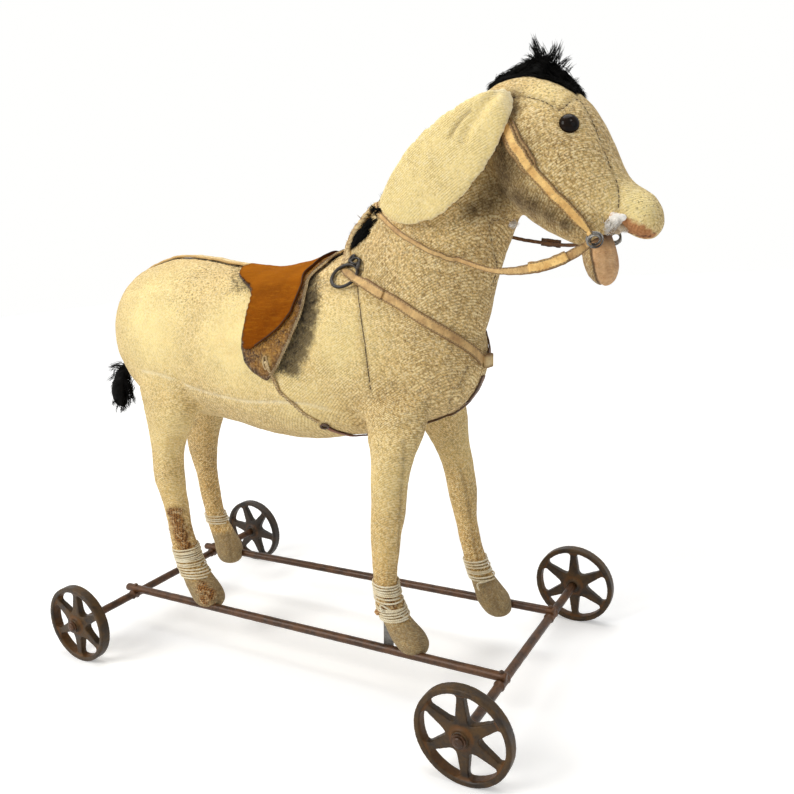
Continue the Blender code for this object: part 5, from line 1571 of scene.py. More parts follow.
# %% Reins
REINS = {"right": ([(0.276, -0.033, 0.338), (0.262, -0.0365, 0.332), (0.246, -0.039, 0.329),
                    (0.229, -0.0405, 0.328), (0.212, -0.0415, 0.33)],
                   [(0.196, -0.05, 0.3335), (0.184, -0.052, 0.3375), (0.171, -0.052, 0.344),
                    (0.1575, -0.051, 0.3517), (0.14, -0.049, 0.3621), (0.1276, -0.044, 0.3707),
                    (0.1145, -0.036, 0.379), (0.106, -0.026, 0.385), (0.1015, -0.017, 0.389)]),
         "left": ([(0.276, -0.033, 0.3445), (0.262, -0.0355, 0.343), (0.246, -0.038, 0.3435),
                   (0.229, -0.04, 0.3462), (0.212, -0.041, 0.3495)],
                  [(0.196, -0.048, 0.354), (0.182, -0.052, 0.357), (0.168, -0.053, 0.361),
                   (0.154, -0.052, 0.366), (0.14, -0.049, 0.371), (0.1276, -0.044, 0.3765),
                   (0.1145, -0.036, 0.382), (0.106, -0.026, 0.386), (0.1015, -0.017, 0.389)]),}
REIN_WIDTH = 0.0052
for side_name, side in SIDES.items():
    free, lying = REINS[side_name]
    free = [at(*spot) for spot in free]
    loop = loop_round(bit_centre, bit_out, free[0] - bit_centre, BIT_RADIUS, BIT_WIRE + 0.001)
    lying_path = laid(lying, REIN_WIDTH, 0.001)
    side_way = loop[0][1]
    whole = finer(one_sided(loop + [(point, side_way) for point in free] + lying_path[2:]))
    path = sided(whole, side)
    ends_x = at(0.215, 0, 0).x
    widths = [0.0042 + 0.0034 * ramp(c.x, ends_x, 0.03) if side < 0 else 0.003 for c, _ in path]
    near_loop = [min(1, 0.55 + (c - mirrored(bit_centre, side)).length * 30) for c, _ in path]
    widths = [wide * share for wide, share in zip(widths, near_loop)]
    rein = strip(side_name + "_rein_leather", path, widths, 0.0013, tan_leather if side < 0
                 else brown_leather, 0.0003, 0.0004, 11.0 + side)
    strap_piece(rein, side_name + "_rein")
    from_x, to_x = (0.243, 0.273) if side < 0 else (0.226, 0.243)
    doubled = [(c + Vector((0, side * 0.0017, 0.0006)), a) for c, a in path
               if at(from_x, 0, 0).x < c.x < at(to_x, 0, 0).x]
    doubled.sort(key=lambda row: row[0].x)
    patch = strip(side_name + "_rein_doubling", doubled, 0.0088 if side < 0 else 0.0066, 0.0015,
                  cheek_leather if side < 0 else brown_leather, 0.0007, 0.0008, 14.0 + side)
    strap_piece(patch)

# %% [markdown]
# ## Saddle
# A pressed leather base hangs down each side as a skirt, and a felt seat lies on top. Both are sheets
# bent over the barrel. A cloth simulation could drape them, but they have kept one stiff shape for a
# century, so a grid is laid over the barrel by rays from its axis, smoothed, and given its thickness.

# %% Sheets over the barrel
BARREL_AXIS = 0.259
SHEET_COLUMNS = 52
SHEET_DEGREES = 1.25
SKIRT_THICKNESS = 0.0016
FELT_THICKNESS = 0.002
SADDLE_LIFT = 0.0012
FELT = [(0, -0.054, 0.044), (10, -0.054, 0.044), (19.6, -0.0476, 0.041), (26, -0.0365, 0.0365),
        (30, -0.0264, 0.0375), (36.5, -0.018, 0.0406), (46, -0.0152, 0.0404), (56, -0.0142, 0.0366),
        (65, -0.0138, 0.0268), (72, -0.013, 0.0142), (78, -0.0118, 0.001), (80.2, -0.0105, -0.004)]
SKIRT = [(0, -0.056, 0.058), (10, -0.056, 0.058), (20, -0.049, 0.055), (27, -0.037, 0.048),
         (33, -0.0255, 0.045), (40, -0.018, 0.0466), (50, -0.017, 0.048), (60, -0.0167, 0.0458),
         (70, -0.0165, 0.04), (80, -0.016, 0.0325), (89, -0.0125, 0.0262), (95, -0.006, 0.02),
         (99.5, 0.002, 0.0142), (102, 0.008, 0.0105)]


def barrel_way(degrees):
    turn = math.radians(degrees)
    return Vector((0, -math.sin(turn), math.cos(turn)))


def sheet_over(name, rows, lift, thickness, finish, pinked=0.0):
    """A sheet over the barrel: its object, its grid of middle points, and the flat area."""
    last = rows[-1][0]
    count = int(2 * last / SHEET_DEGREES)
    turns = [-last + 2 * last * i / count for i in range(count + 1)]
    known = [row[0] for row in rows]
    reach = np.zeros((count + 1, SHEET_COLUMNS + 1))
    spots = np.zeros((count + 1, SHEET_COLUMNS + 1))
    for i, degrees in enumerate(turns):
        rear = np.interp(abs(degrees), known, [row[1] for row in rows])
        rear += pinked * (0.5 if i % 4 < 2 else -0.5) * (abs(degrees) > 22.0)
        front = np.interp(abs(degrees), known, [row[2] for row in rows])
        way = barrel_way(degrees)
        for k in range(SHEET_COLUMNS + 1):
            x = rear + (front - rear) * k / SHEET_COLUMNS
            axis = at(x, 0, BARREL_AXIS)
            hit = COVER_TREE.ray_cast(axis + way * 0.2, -way)[0]
            spots[i, k] = x
            reach[i, k] = (hit - axis).length
    for _ in range(3):
        padded = np.pad(reach, 1, mode="edge")
        around = (padded[:-2, 1:-1] + padded[2:, 1:-1] + padded[1:-1, :-2] + padded[1:-1, 2:]) / 4
        reach = np.maximum(reach, 0.5 * reach + 0.5 * around)
    points = []
    for i, degrees in enumerate(turns):
        way = barrel_way(degrees)
        for k in range(SHEET_COLUMNS + 1):
            points.append(at(spots[i, k], 0, BARREL_AXIS) + way * (reach[i, k] + lift + thickness / 2))
    wide = SHEET_COLUMNS + 1
    faces = [(i * wide + k, i * wide + k + 1, (i + 1) * wide + k + 1, (i + 1) * wide + k)
             for i in range(count) for k in range(SHEET_COLUMNS)]
    mesh = bpy.data.meshes.new(name)
    mesh.from_pydata(points, [], faces)
    piece = link_mesh(name, mesh)
    area = sum(face.area for face in mesh.polygons)
    select_only(piece)
    bpy.ops.object.mode_set(mode="EDIT")
    bpy.ops.mesh.select_all(action="SELECT")
    bpy.ops.mesh.remove_doubles(threshold=0.0001)
    bpy.ops.mesh.normals_make_consistent(inside=False)
    bpy.ops.object.mode_set(mode="OBJECT")
    thick = piece.modifiers.new("thickness", "SOLIDIFY")
    thick.thickness = thickness
    thick.offset = 0.0
    thick.use_even_offset = True
    worn = piece.modifiers.new("worn_edge", "BEVEL")
    worn.width = thickness * 0.28
    worn.segments = 2
    worn.limit_method = "ANGLE"
    worn.angle_limit = math.radians(60)
    apply_all(piece)
    mesh.materials.append(finish)
    mesh.shade_smooth()
    grid = table_of(points).reshape(count + 1, wide, 3)
    border = np.concatenate([grid[0], grid[-1], grid[:, 0], grid[:, -1]])
    tree = point_tree(border)
    apart = np.array([tree.find(point)[2] for point in points_of(piece)])
    store(piece, "rim", np.exp(-(apart / (0.0016 if "felt" in piece.name else 0.0036)) ** 2))
    return piece, grid, area


def front_edge(grid, out):
    """The front edge of a sheet's grid, lifted outwards."""
    points = grid[:, -1]
    middle = np.array(at(0, 0, BARREL_AXIS))
    ways = points - middle
    ways[:, 0] = 0.0
    ways /= np.linalg.norm(ways, axis=1)[:, None]
    return [Vector(point) for point in points + ways * out]


# %% The leather base
EMBOSS_TOP = 58.0

skirt_finish, shader, place = start_finish("pressed_skirt_leather", 0.32, Specular_IOR_Level=0.3)
blotch = noise(place, 130, 5, 0.7)
speck = noise(place, 520, 5, 0.7)
tone = mixed(spread(blotch, 0.36, 0.62), colour(0.06, 0.022, 0.003), colour(0.33, 0.145, 0.016))
gold = stored(place, "emboss") * spread(speck, 0.42, 0.62)
tone = mixed(gold * 0.8, tone, colour(0.66, 0.36, 0.08))
patch = stored(place, "pale") * spread(speck, 0.3, 0.55)
tone = mixed(patch, tone, colour(0.66, 0.46, 0.17))
tone = mixed(stored(place, "rim") * 0.8, tone, colour(0.02, 0.012, 0.008))
# painted highlight: silvery glints on the dark rim
painted_rim_highlight = stored(place, "rim") * spread(speck, 0.54, 0.62)
tone = mixed(painted_rim_highlight * 0.6, tone, colour(0.4, 0.34, 0.3))
paint(shader, tone)
paint(shader, spread(speck, 0.35, 0.65, 0.12, 0.34), "Roughness")
relief(shader, speck + blotch * 2.0, 0.0013, 1)

skirt, skirt_grid, _ = sheet_over("pressed_leather_base", SKIRT, SADDLE_LIFT, SKIRT_THICKNESS, skirt_finish)
table = points_of(skirt)
low_down = np.clip((np.degrees(np.arctan2(np.abs(table[:, 1]), table[:, 2] - at(0, 0, BARREL_AXIS).z))
                    - EMBOSS_TOP) / 8.0, 0, 1)
bumps = np.array([noise_at(Vector(point) / 0.0024) for point in table])
ridges = low_down * (1.0 - np.abs(bumps) * 2.2)
outside = normals_of(skirt)[:, 1] * table[:, 1] > 0
set_points(skirt, table + normals_of(skirt) * (0.00035 * ridges)[:, None] * outside[:, None])
store(skirt, "emboss", np.clip(ridges * 1.5 - 0.35, 0, 1))
keyhole = COVER_TREE.ray_cast(EYE_POINT, sight_line((268, 361)))[0]
apart = np.minimum(np.linalg.norm(table - np.array(keyhole), axis=1),
                   np.linalg.norm(table - np.array((keyhole.x, -keyhole.y, keyhole.z)), axis=1))
store(skirt, "pale", np.exp(-(apart / 0.006) ** 4))
strap_piece(skirt, "saddle_skirt", slot_name="skirt_leather")
SKIRT_TREE = search_tree(skirt)

# %% The felt seat
felt_finish, shader, place = start_finish("orange_seat_felt", 0.85, Specular_IOR_Level=0.03)
blotch = noise(place, 34, 6, 0.62)
streak_place = add_node(place.tree, "ShaderNodeMapping", {0: place}, vector_type="POINT")
streak_place.inputs["Rotation"].default_value = (0, 0.55, 0)
streak_place.inputs["Scale"].default_value = (0.7, 1, 5)
streak = noise(Signal(streak_place.outputs[0]), 90, 5, 0.7)
fibre = noise(place, 1100, 3, 0.7)
tone = mixed(spread(blotch, 0.34, 0.66), colour(0.125, 0.026, 0.001), colour(0.245, 0.064, 0.002))
tone = mixed(spread(streak, 0.5, 0.74, 0, 0.3), tone, colour(0.55, 0.22, 0.012))
tone = mixed(spread(streak, 0.44, 0.3, 0, 0.5), tone, colour(0.1, 0.028, 0.004))
# painted light: the felt is lighter where it faces up
painted_top_light = axes_of(Signal(add_node(place.tree, "ShaderNodeNewGeometry").outputs["Normal"]))[2]
tone = mixed(spread(painted_top_light, 0.35, 0.95, 0, 0.55), tone, colour(0.42, 0.14, 0.008))
tone = mixed(spread(fibre, 0.52, 0.72, 0, 0.25), tone, colour(0.45, 0.18, 0.03))
tone = mixed(stored(place, "rim") * 0.6, tone, colour(0.05, 0.02, 0.008))
paint(shader, tone)
relief(shader, fibre + streak * 2.0, 0.0004, 0.7)

felt_lift = SADDLE_LIFT + SKIRT_THICKNESS + 0.0004
seat, seat_grid, seat_area = sheet_over("felt_seat", FELT, felt_lift, FELT_THICKNESS, felt_finish, 0.0012)
across = sum((Vector(two) - Vector(one)).length for one, two in zip(seat_grid[:-1, 20], seat_grid[1:, 20]))
strap_piece(seat, "saddle_seat", slot_name="saddle_felt")
print("felt seat", round(1000 * across), "mm across,", round(1e4 * seat_area, 1), "square cm")

# %% Its dark edge thread and the braid in front
dark_thread = leather("dark_waxed_thread", colour(0.03, 0.012, 0.003), colour(0.1, 0.045, 0.012),
                      colour(0.02, 0.008, 0.003), 0.95, False)
straw_braid = leather("straw_braid", colour(0.3, 0.17, 0.05), colour(0.84, 0.66, 0.36),
                      colour(0.05, 0.025, 0.01), 0.75, False)
edge_line = smooth_line(front_edge(seat_grid, 0.0013)[::3], 0.0012)
strap_piece(tube("seat_edge_thread", edge_line, 0.00045, dark_thread, 6), slot_name="black_hair")
braid_line = smooth_line(front_edge(skirt_grid, 0.0008)[::4], 0.0008)
middle = at(0, 0, BARREL_AXIS)
braid_outs = [Vector((0, p.y, p.z - middle.z)).normalized() for p in braid_line]
braid = plait("twisted_front_braid", braid_line, braid_outs, 0.001, 0.001, straw_braid, 2, 0.0052)
strap_piece(braid, slot_name="pale_leather")

# %% Crupper
CRUPPER_ROUTE = [(-0.052, 0, 0.36), (-0.068, 0, 0.36), (-0.09, 0, 0.37), (-0.115, 0, 0.37),
                 (-0.14, 0, 0.37), (-0.165, 0, 0.37), (-0.188, 0, 0.36), (-0.206, 0, 0.35)]
crupper_path = laid(CRUPPER_ROUTE, 0.01, 0.0016)
crupper_path = [(c + Vector((0, 0, 0.0016 * max(0, 1.0 - i / 12.0))), a)
                for i, (c, a) in enumerate(crupper_path)]
crupper_widths = [0.0128 - 0.0046 * ramp(i / len(crupper_path), 0.55, 0.25) + 0.0005 * math.sin(i * 0.5)
                  for i in range(len(crupper_path))]
cream_leather = leather("cream_crupper_leather", colour(0.66, 0.47, 0.2), colour(0.88, 0.72, 0.42),
                        colour(0.56, 0.36, 0.14), 0.8, True, 0.09)
crupper = strip("cream_crupper", crupper_path, crupper_widths, 0.0026, cream_leather, 0.0006, 0.0005, 21)
strap_piece(crupper, "crupper_strap", slot_name="pale_leather")

# %% [markdown]
# ## Button eyes, string and girth
# The eyes are glossy buttons sewn into small dents. Cotton string is wound round each ankle to hold the
# leg on its iron, in uneven turns that ride over each other, with loose ends. The girth is a thin cord
# tied to the skirt, with a leather loop and a strap under the belly. Each wound string follows rays cast
# at the cloth, so that it lies on it everywhere.

# %% Button eyes
EYE_PIXEL = (569, 124)
EYE_SECTION = [(0.00005, 0.0044), (0.0018, 0.0043), (0.0036, 0.0037), (0.0052, 0.0026), (0.0062, 0.0012),
               (0.0066, 0), (0.0064, -0.001), (0.005, -0.0018), (0.00005, -0.0018)]
eye_finish, shader, place, _ = two_toned("brown_black_glass", 0.08, (160, 3, 0.6), (0.35, 0.7),
                                         (0.002, 0.0015, 0.001), (0.016, 0.007, 0.003),
                                         Specular_IOR_Level=0.08)
paint(shader, spread(noise(place, 500), 0.4, 0.7, 0.04, 0.14), "Roughness")

eye_spot, _ = on_cloth(EYE_PIXEL)
table = points_of(cover)
for side in (1, -1):
    apart = np.linalg.norm(table - np.array((eye_spot.x, side * eye_spot.y, eye_spot.z)), axis=1)
    table -= normals_of(cover) * (0.0016 * np.exp(-(apart / 0.0085) ** 2))[:, None]
set_points(cover, table)
COVER_TREE = search_tree(cover)
eye_spot, _ = on_cloth(EYE_PIXEL)
eye_way = way_round(eye_spot, 0.007)
for side_name, side in SIDES.items():
    eye = spun(side_name + "_button_eye", [(1.12 * out, 1.05 * up) for out, up in EYE_SECTION], 40)
    way = mirrored(eye_way, side)
    spot = mirrored(eye_spot, side) + way * 0.0008
    eye.data.transform(Matrix.Translation(spot) @ way.to_track_quat("Z", "Y").to_matrix().to_4x4())
    dress(eye, eye_finish)
    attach(eye, BODY)
    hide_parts(side_name + "_eye")

# %% String round the ankles
STRING_RADIUS = 0.00082
TURN_POINTS = 26
string_finish, shader, place = start_finish("cotton_string", 0.9, Sheen_Weight=0.2)
across, along = across_and_along(place)
lay = calc("FRACT", across * 2.0 + along * 620.0)
ply = abs(lay - 0.5)
dirt = noise(place, 90, 5, 0.7)
tone = mixed(spread(dirt, 0.35, 0.65), colour(0.78, 0.64, 0.38), colour(0.97, 0.9, 0.68))
# painted shade: the grooves between the twisted plies are darkened
tone = mixed(spread(ply, 0.12, 0, 0, 0.75), tone, colour(0.25, 0.14, 0.06))
paint(shader, tone)
relief(shader, ply, 0.0006, 0.9)

WINDINGS = {"rear_right": [(0.06, 0.048, 6, 1), (0.05, 0.041, 4, 2), (0.04, 0.029, 4, 3)],
            "rear_left": [(0.051, 0.04, 4, 4)], "front_right": [(0.063, 0.05, 6, 5), (0.052, 0.04, 2, 6),
    (0.041, 0.03, 5, 7)], "front_left": [(0.048, 0.027, 7, 8)],}
LOOSE_ENDS = {"rear_right": (209, 560), "front_left": (479, 583), "front_right": (383, 604)}


def node_points(name):
    turned = np.array(nodes[name].matrix_world)
    return points_of(nodes[name]) @ turned[:3, :3].T + turned[:3, 3]


def leg_middle(height, table):
    """The middle of the leg at a height, between the rows of its points below and above."""
    below = table[(table[:, 2] <= height) & (table[:, 2] > height - 0.02)]
    above = table[(table[:, 2] > height) & (table[:, 2] < height + 0.02)]
    below = below[below[:, 2] > below[:, 2].max() - 0.003]
    above = above[above[:, 2] < above[:, 2].min() + 0.003]
    ends = [(part.min(0) + part.max(0)) / 2 for part in (below, above)]
    share = (height - ends[0][2]) / max(ends[1][2] - ends[0][2], 0.0001)
    middle = ends[0] + (ends[1] - ends[0]) * share
    return Vector((middle[0], middle[1], height))


def wound(table, top, bottom, turns, seed):
    """Points of a string wound round a leg, uneven, and riding over itself here and there."""
    count = turns * TURN_POINTS
    points = []
    for i in range(count + 1):
        share = i / count
        height = at(0, 0, top + (bottom - top) * share).z
        height += 0.0011 * noise_at(Vector((share * turns * 0.9, seed, 0)))
        turn = 2 * math.pi * i / TURN_POINTS
        swing = abs(noise_at(Vector((share * turns * 0.3, seed, 5))))
        height += 0.0016 * math.sin(turn + seed) * (0.4 + 0.6 * swing)
        way = Vector((math.cos(turn), math.sin(turn), 0))
        middle = leg_middle(height, table)
        hit = COVER_TREE.ray_cast(middle + way * 0.045, -way)[0] or middle + way * 0.013
        ride_over = 0.0005 + 0.0009 * max(0, noise_at(Vector((share * turns * 1.1, seed, 9))) + 0.2)
        points.append(hit + way * (STRING_RADIUS + ride_over))
    smooth = averaged(table_of(points), 1)
    return [Vector(point) for point in smooth]


for corner, windings in WINDINGS.items():
    table = node_points(corner + "_leg")
    pieces = []
    for top, bottom, turns, seed in windings:
        points = wound(table, top, bottom, turns, seed)
        if corner in LOOSE_ENDS and (top, bottom, turns, seed) == windings[-1]:
            spot, way = on_cloth(LOOSE_ENDS[corner])
            if spot:
                last = points[-1]
                tail = [last.lerp(spot + way * 0.002, 0.5) + way * 0.002, spot + way * 0.0035,
                        spot + way * 0.004 + Vector((0.002, -0.001, -0.006))]
                points = points + smooth_line([points[-1]] + tail, 0.0012)[1:]
        pieces.append(tube("turns", points, STRING_RADIUS, string_finish, 7))
    binding = joined(pieces, corner + "_wound_string")
    strap_piece(binding, corner + "_binding", slot_name="cotton_string")

# %% Girth
GIRTH_ROUTE = [(0.015, -0.0672, 0.24), (0.02, -0.0655, 0.234), (0.0257, -0.0622, 0.2263),
               (0.03, -0.059, 0.22), (0.0345, -0.055, 0.214), (0.0434, -0.0474, 0.2038),
               (0.052, -0.0355, 0.194), (0.0585, -0.024, 0.188), (0.064, -0.012, 0.183), (0.066, 0, 0.18)]
old_cord = leather("frayed_girth_cord", colour(0.4, 0.25, 0.1), colour(0.84, 0.67, 0.38),
                   colour(0.14, 0.07, 0.025), 0.8, False)
red_leather = leather("red_brown_belly_leather", colour(0.16, 0.045, 0.018), colour(0.33, 0.12, 0.05),
                      colour(0.05, 0.02, 0.01), 0.5, False)
girth_path = laid(GIRTH_ROUTE, 0.003, 0)
girth_line = [c for c, _ in girth_path]
knob_at = next(i for i, c in enumerate(girth_line) if abs(c.y) < 0.0455)
start = keyhole + (keyhole - at(0, 0, BARREL_AXIS)).normalized() * 0.004
cord_line = smooth_line([start] + girth_line[4:knob_at:4], 0.0008)
cord_outs = [nearest(point)[1] for point in cord_line]
for side_name, side in SIDES.items():
    line = [mirrored(p, side) for p in cord_line]
    outs = [mirrored(p, side) for p in cord_outs]
    cord = plait(side_name + "_girth_cord", line, outs, 0.0011, 0.0012, old_cord, 2, 0.0048)
    loop_centre = mirrored(girth_line[knob_at + 2], side)
    loop_out = nearest(loop_centre)[1]
    loop_centre = flat_rest(loop_centre, loop_out, 0.004, 0.0016)
    leather_loop = wire_ring(side_name + "_girth_loop", loop_centre, loop_out, 0.0042, 0.0013, 0.7, 0.5)
    dress(leather_loop, brown_leather)
    strap_piece(cord, slot_name="tan_leather")
    strap_piece(leather_loop, slot_name="tan_leather")
SLOT_RADII = [0.0003, 0.0006, 0.0008, 0.0008, 0.0007, 0.0005, 0.0003]
for side_name, side in SIDES.items():
    loop = []
    slot = []
    for i in range(22):
        t = 2 * math.pi * i / 22
        rim = Vector((keyhole.x + 0.0023 * math.sin(t), keyhole.y - 0.008,
                      keyhole.z - 0.001 + 0.0062 * math.cos(t)))
        spot, way, _, _ = SKIRT_TREE.find_nearest(rim)
        loop.append(spot + Vector((0, -0.0006, 0)))
    for share in np.linspace(-1, 1, 7):
        spot, way, _, _ = SKIRT_TREE.find_nearest(keyhole + Vector((0, -0.008, 0.0042 * share)))
        slot.append(spot + Vector((0, -0.0004, 0)))
    loop = [mirrored(p, side) for p in loop]
    slot = [mirrored(p, side) for p in slot]
    strap_piece(tube(side_name + "_keyhole_stitching", loop, 0.0006, old_cord, 7, True),
                slot_name="tan_leather")
    # painted shade: a dark tube stands for the shade inside the slot
    strap_piece(tube(side_name + "_keyhole_slot", slot, SLOT_RADII, dark_thread, 7), slot_name="black_hair")
belly = girth_path[knob_at + 4:]
belly_path = belly + sided(belly, 1)[-2::-1]
belly_strap = strip("belly_strap", one_sided([(c + nearest(c)[1] * 0.0012, a) for c, a in belly_path]),
                    0.0046, 0.0014, red_leather, 0.0003, 0.0003, 17)
strap_piece(belly_strap, "girth")

# %% [markdown]
# ## Hair and fluff
# The forelock, the mane and the tail are tufts of stiff black hair, and a little white stuffing comes
# out at the mouth and the throat. Blender's hair system would do, but a mesh of fine tapered strands
# travels better: each lock follows a guide from root to tip, and its strands gather towards the tip.

# %% Strands
hair_finish, shader, _, tint = two_toned("glossy_black_hair", 0.6, (240, 3, 0.6), (0.35, 0.65),
                                         (0.001, 0.001, 0.001), (0.005, 0.0045, 0.004),
                                         Specular_IOR_Level=0.04)
paint(shader, spread(tint, 0.3, 0.7, 0.4, 0.65), "Roughness")
fluff_finish = two_toned("white_stuffing", 1, (300, 3, 0.6), (0.3, 0.7), (0.9, 0.84, 0.74), (1, 0.98, 0.94),
                         Sheen_Weight=0.4)[0]


def strands(name, lines, thickness, finish):
    """Many tapered strands in one mesh. Each has three sides and ends in a point."""
    points = []
    faces = []
    for line, wide in lines:
        first = len(points)
        across = (line[1] - line[0]).orthogonal().normalized()
        for i, point in enumerate(line[:-1]):
            along = (line[i + 1] - point).normalized()
            across = (across - along * across.dot(along)).normalized()
            up = along.cross(across)
            radius = thickness * wide * (1.0 - 0.75 * i / len(line))
            for k in range(3):
                turn = 2 * math.pi * k / 3
                points.append(point + (across * math.cos(turn) + up * math.sin(turn)) * radius)
            if i:
                base = first + (i - 1) * 3
                for k in range(3):
                    faces.append((base + k, base + (k + 1) % 3, base + 3 + (k + 1) % 3, base + 3 + k))
        points.append(line[-1])
        base = first + (len(line) - 2) * 3
        for k in range(3):
            faces.append((base + k, base + (k + 1) % 3, len(points) - 1))
        faces.append((first + 2, first + 1, first))
    mesh = bpy.data.meshes.new(name)
    mesh.from_pydata(points, [], faces)
    mesh.materials.append(finish)
    mesh.shade_smooth()
    print(name, len(lines), "strands,", len(faces), "faces")
    return link_mesh(name, mesh)


def lock(chance, root, tip, bend, count, spread_out, steps=7):
    """The strands of one lock: a bent guide from root to tip, open at the root and gathered at the tip."""
    found = []
    middle = (root + tip) / 2 + bend
    for _ in range(count):
        away = jitter(chance, 1) * (spread_out * 0.5)
        loose = jitter(chance, 1) * (spread_out * 0.35)
        end = 0.72 + 0.32 * chance.random()
        wave = Vector([chance.uniform(-1, 1) for _ in range(3)]) * (spread_out * 0.22)
        line = []
        for i in range(steps + 1):
            t = i / steps * end
            spot = root * (1 - t) ** 2 + middle * (2 * t * (1 - t)) + tip * t * t
            line.append(spot + away * (1.0 - 0.75 * t) + loose * t * t + wave * math.sin(2.6 * t * math.pi))
        found.append((line, 0.7 + 0.5 * chance.random()))
    return found


def on_plane(pixel, y):
    """The place on the upright plane at that y which a pixel of the photograph shows."""
    way = sight_line(pixel)
    return EYE_POINT + way * ((y - EYE_POINT.y) / way.y)


def hair_pad(name, node, squeeze, finish):
    """A dark pad under a tuft: its solid, drawn in a little, so that no cloth shows between strands."""
    pad = solid_copy(node, -squeeze)
    pad.name = name
    remeshed(pad, 0.0018)
    softened(pad, 3)
    roughened(pad, 0.0009, 0.004, 2.9)
    dress(pad, finish)
    return pad


def hair_piece(name, node, locks, pad, thickness):
    """A tuft and its pad as one piece."""
    tuft = strands(name + "_strands", locks, thickness, hair_finish)
    strap_piece(joined([tuft, pad], name + "_hair"), node, slot_name="black_hair")


# %% Forelock
HAIR_THICKNESS = 0.00026
PARTING = 0.5
CROWN_HALF_WIDTH = 0.0098
PAD_SUNK = 0.0016
chance = random.Random(11)
forelock = []
pad = hair_pad("forelock_pad", "forelock", 0.005, hair_finish)
pad_tree = search_tree(pad)
low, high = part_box("forelock")


def crown_top(x, y):
    """The highest place of pad or cloth over a point of the crown, and the way out there."""
    start = Vector((x, y, high[2] + 0.05))
    hits = [tree.ray_cast(start, Vector((0, 0, -1)))[:2] for tree in (pad_tree, COVER_TREE)]
    hits = [hit for hit in hits if hit[0]]
    return max(hits, key=lambda hit: hit[0].z) if hits else (None, None)


for point in pad.data.vertices:
    point.co.z -= PAD_SUNK
BAND_REAR = on_plane((494, 78), 0).x
BAND_FRONT = on_plane((581, 82), 0).x
for _ in range(330):
    share = chance.random()
    y = chance.uniform(-CROWN_HALF_WIDTH, CROWN_HALF_WIDTH)
    along = low[0] + (high[0] - low[0]) * share
    root, out = crown_top(along, y)
    flow = 1.0 if share > PARTING + chance.gauss(0, 0.08) else -1.0
    end_x = min(max(along + flow * chance.uniform(0.012, 0.019), BAND_REAR), BAND_FRONT)
    tip = None
    if root and root.x < BAND_FRONT:
        tip, tip_out = crown_top(end_x, y * 1.25 + chance.gauss(0, 0.002))
    if not tip:
        continue
    tip = tip + tip_out * chance.uniform(0.0002, 0.0022)
    bend = Vector((0, 0, chance.uniform(0.0015, 0.004)))
    forelock += lock(chance, root - out * 0.0008, tip, bend, 9, 0.0026, 6)
LOCKS = [((541, 68), (533, 36), 0, 40), ((543, 67), (530, 44), 0.002, 16),
         ((546, 66), (541, 45), -0.002, 26), ((549, 66), (556, 43), 0.001, 34),
         ((551, 66), (561, 45), -0.001, 26), ((553, 67), (563, 51), 0.003, 28),
         ((557, 68), (571, 57), 0.001, 26), ((560, 70), (575, 65), -0.003, 22),
         ((569, 76), (580, 80), -0.004, 22), ((536, 68), (527, 55), -0.002, 18),
         ((530, 70), (520, 60), 0.001, 14), ((544, 66), (548, 50), -0.004, 20)]
for root_pixel, tip_pixel, y, count in LOCKS:
    root, out = crown_top(on_plane(root_pixel, y).x, y)
    bend = Vector((chance.uniform(-0.003, 0.003), chance.uniform(-0.003, 0.003), 0.0025))
    forelock += lock(chance, root - out * 0.001, on_plane(tip_pixel, y), bend, count, 0.0034)
hair_piece("forelock", "forelock", forelock, pad, HAIR_THICKNESS)

# %% Mane
MANE_LOCKS = [((482, 84), (474, 79)), ((480, 85), (475, 84)), ((486, 82), (480, 80)),
              ((492, 79), (484, 80)), ((497, 77), (490, 77))]
chance = random.Random(23)
mane = []
rows = node_points("neck_mane")
rear_x, front_x = rows[:, 0].min(), rows[:, 0].max()
crest = []
for share in np.linspace(0, 1, 46):
    x = rear_x + (front_x - rear_x) * share
    crest.append(Vector((x, 0, rows[np.abs(rows[:, 0] - x) < 0.006][:, 2].max())))
for spot in crest:
    for _ in range(2):
        hit, way = nearest(spot + Vector((0, chance.uniform(-0.004, 0.004), 0)))
        lean = Vector((-0.25 + chance.uniform(-0.35, 0.25), chance.uniform(-0.5, 0.5), 0.1))
        tip = hit + (way + lean).normalized() * chance.uniform(0.005, 0.01)
        mane += lock(chance, hit - way * 0.001, tip, way * 0.001, 7, 0.0026, 5)
for root_pixel, tip_pixel in MANE_LOCKS:
    root, out = edge_cloth(root_pixel)
    if root:
        tip, tip_out = edge_cloth(tip_pixel)
        mane += lock(chance, root - out * 0.001, (tip or root) + out * 0.003, out * 0.002, 18, 0.0024)
for _ in range(150):
    share = chance.random()
    pixel = (373 - 17 * share + chance.gauss(0, 2.2), 219 + 24 * share)
    root, out = edge_cloth(pixel)
    tip, tip_out = edge_cloth((pixel[0] - 5.5, pixel[1] + 8.0))
    tip = tip + tip_out * chance.uniform(0.0004, 0.002)
    mane += lock(chance, root - out * 0.0006, tip, out * 0.0022, 8, 0.002, 5)
for _ in range(26):
    root, out = edge_cloth((378 + chance.gauss(0, 3), 212 + chance.gauss(0, 1.6)))
    way = (out + jitter(chance, 0.6)).normalized()
    mane += lock(chance, root - out * 0.0006, root + way * 0.005, out * 0.001, 9, 0.0022, 5)
hair_piece("mane", "neck_mane", mane, hair_pad("mane_pad", "neck_mane", 0.0008, hair_finish),
           HAIR_THICKNESS)

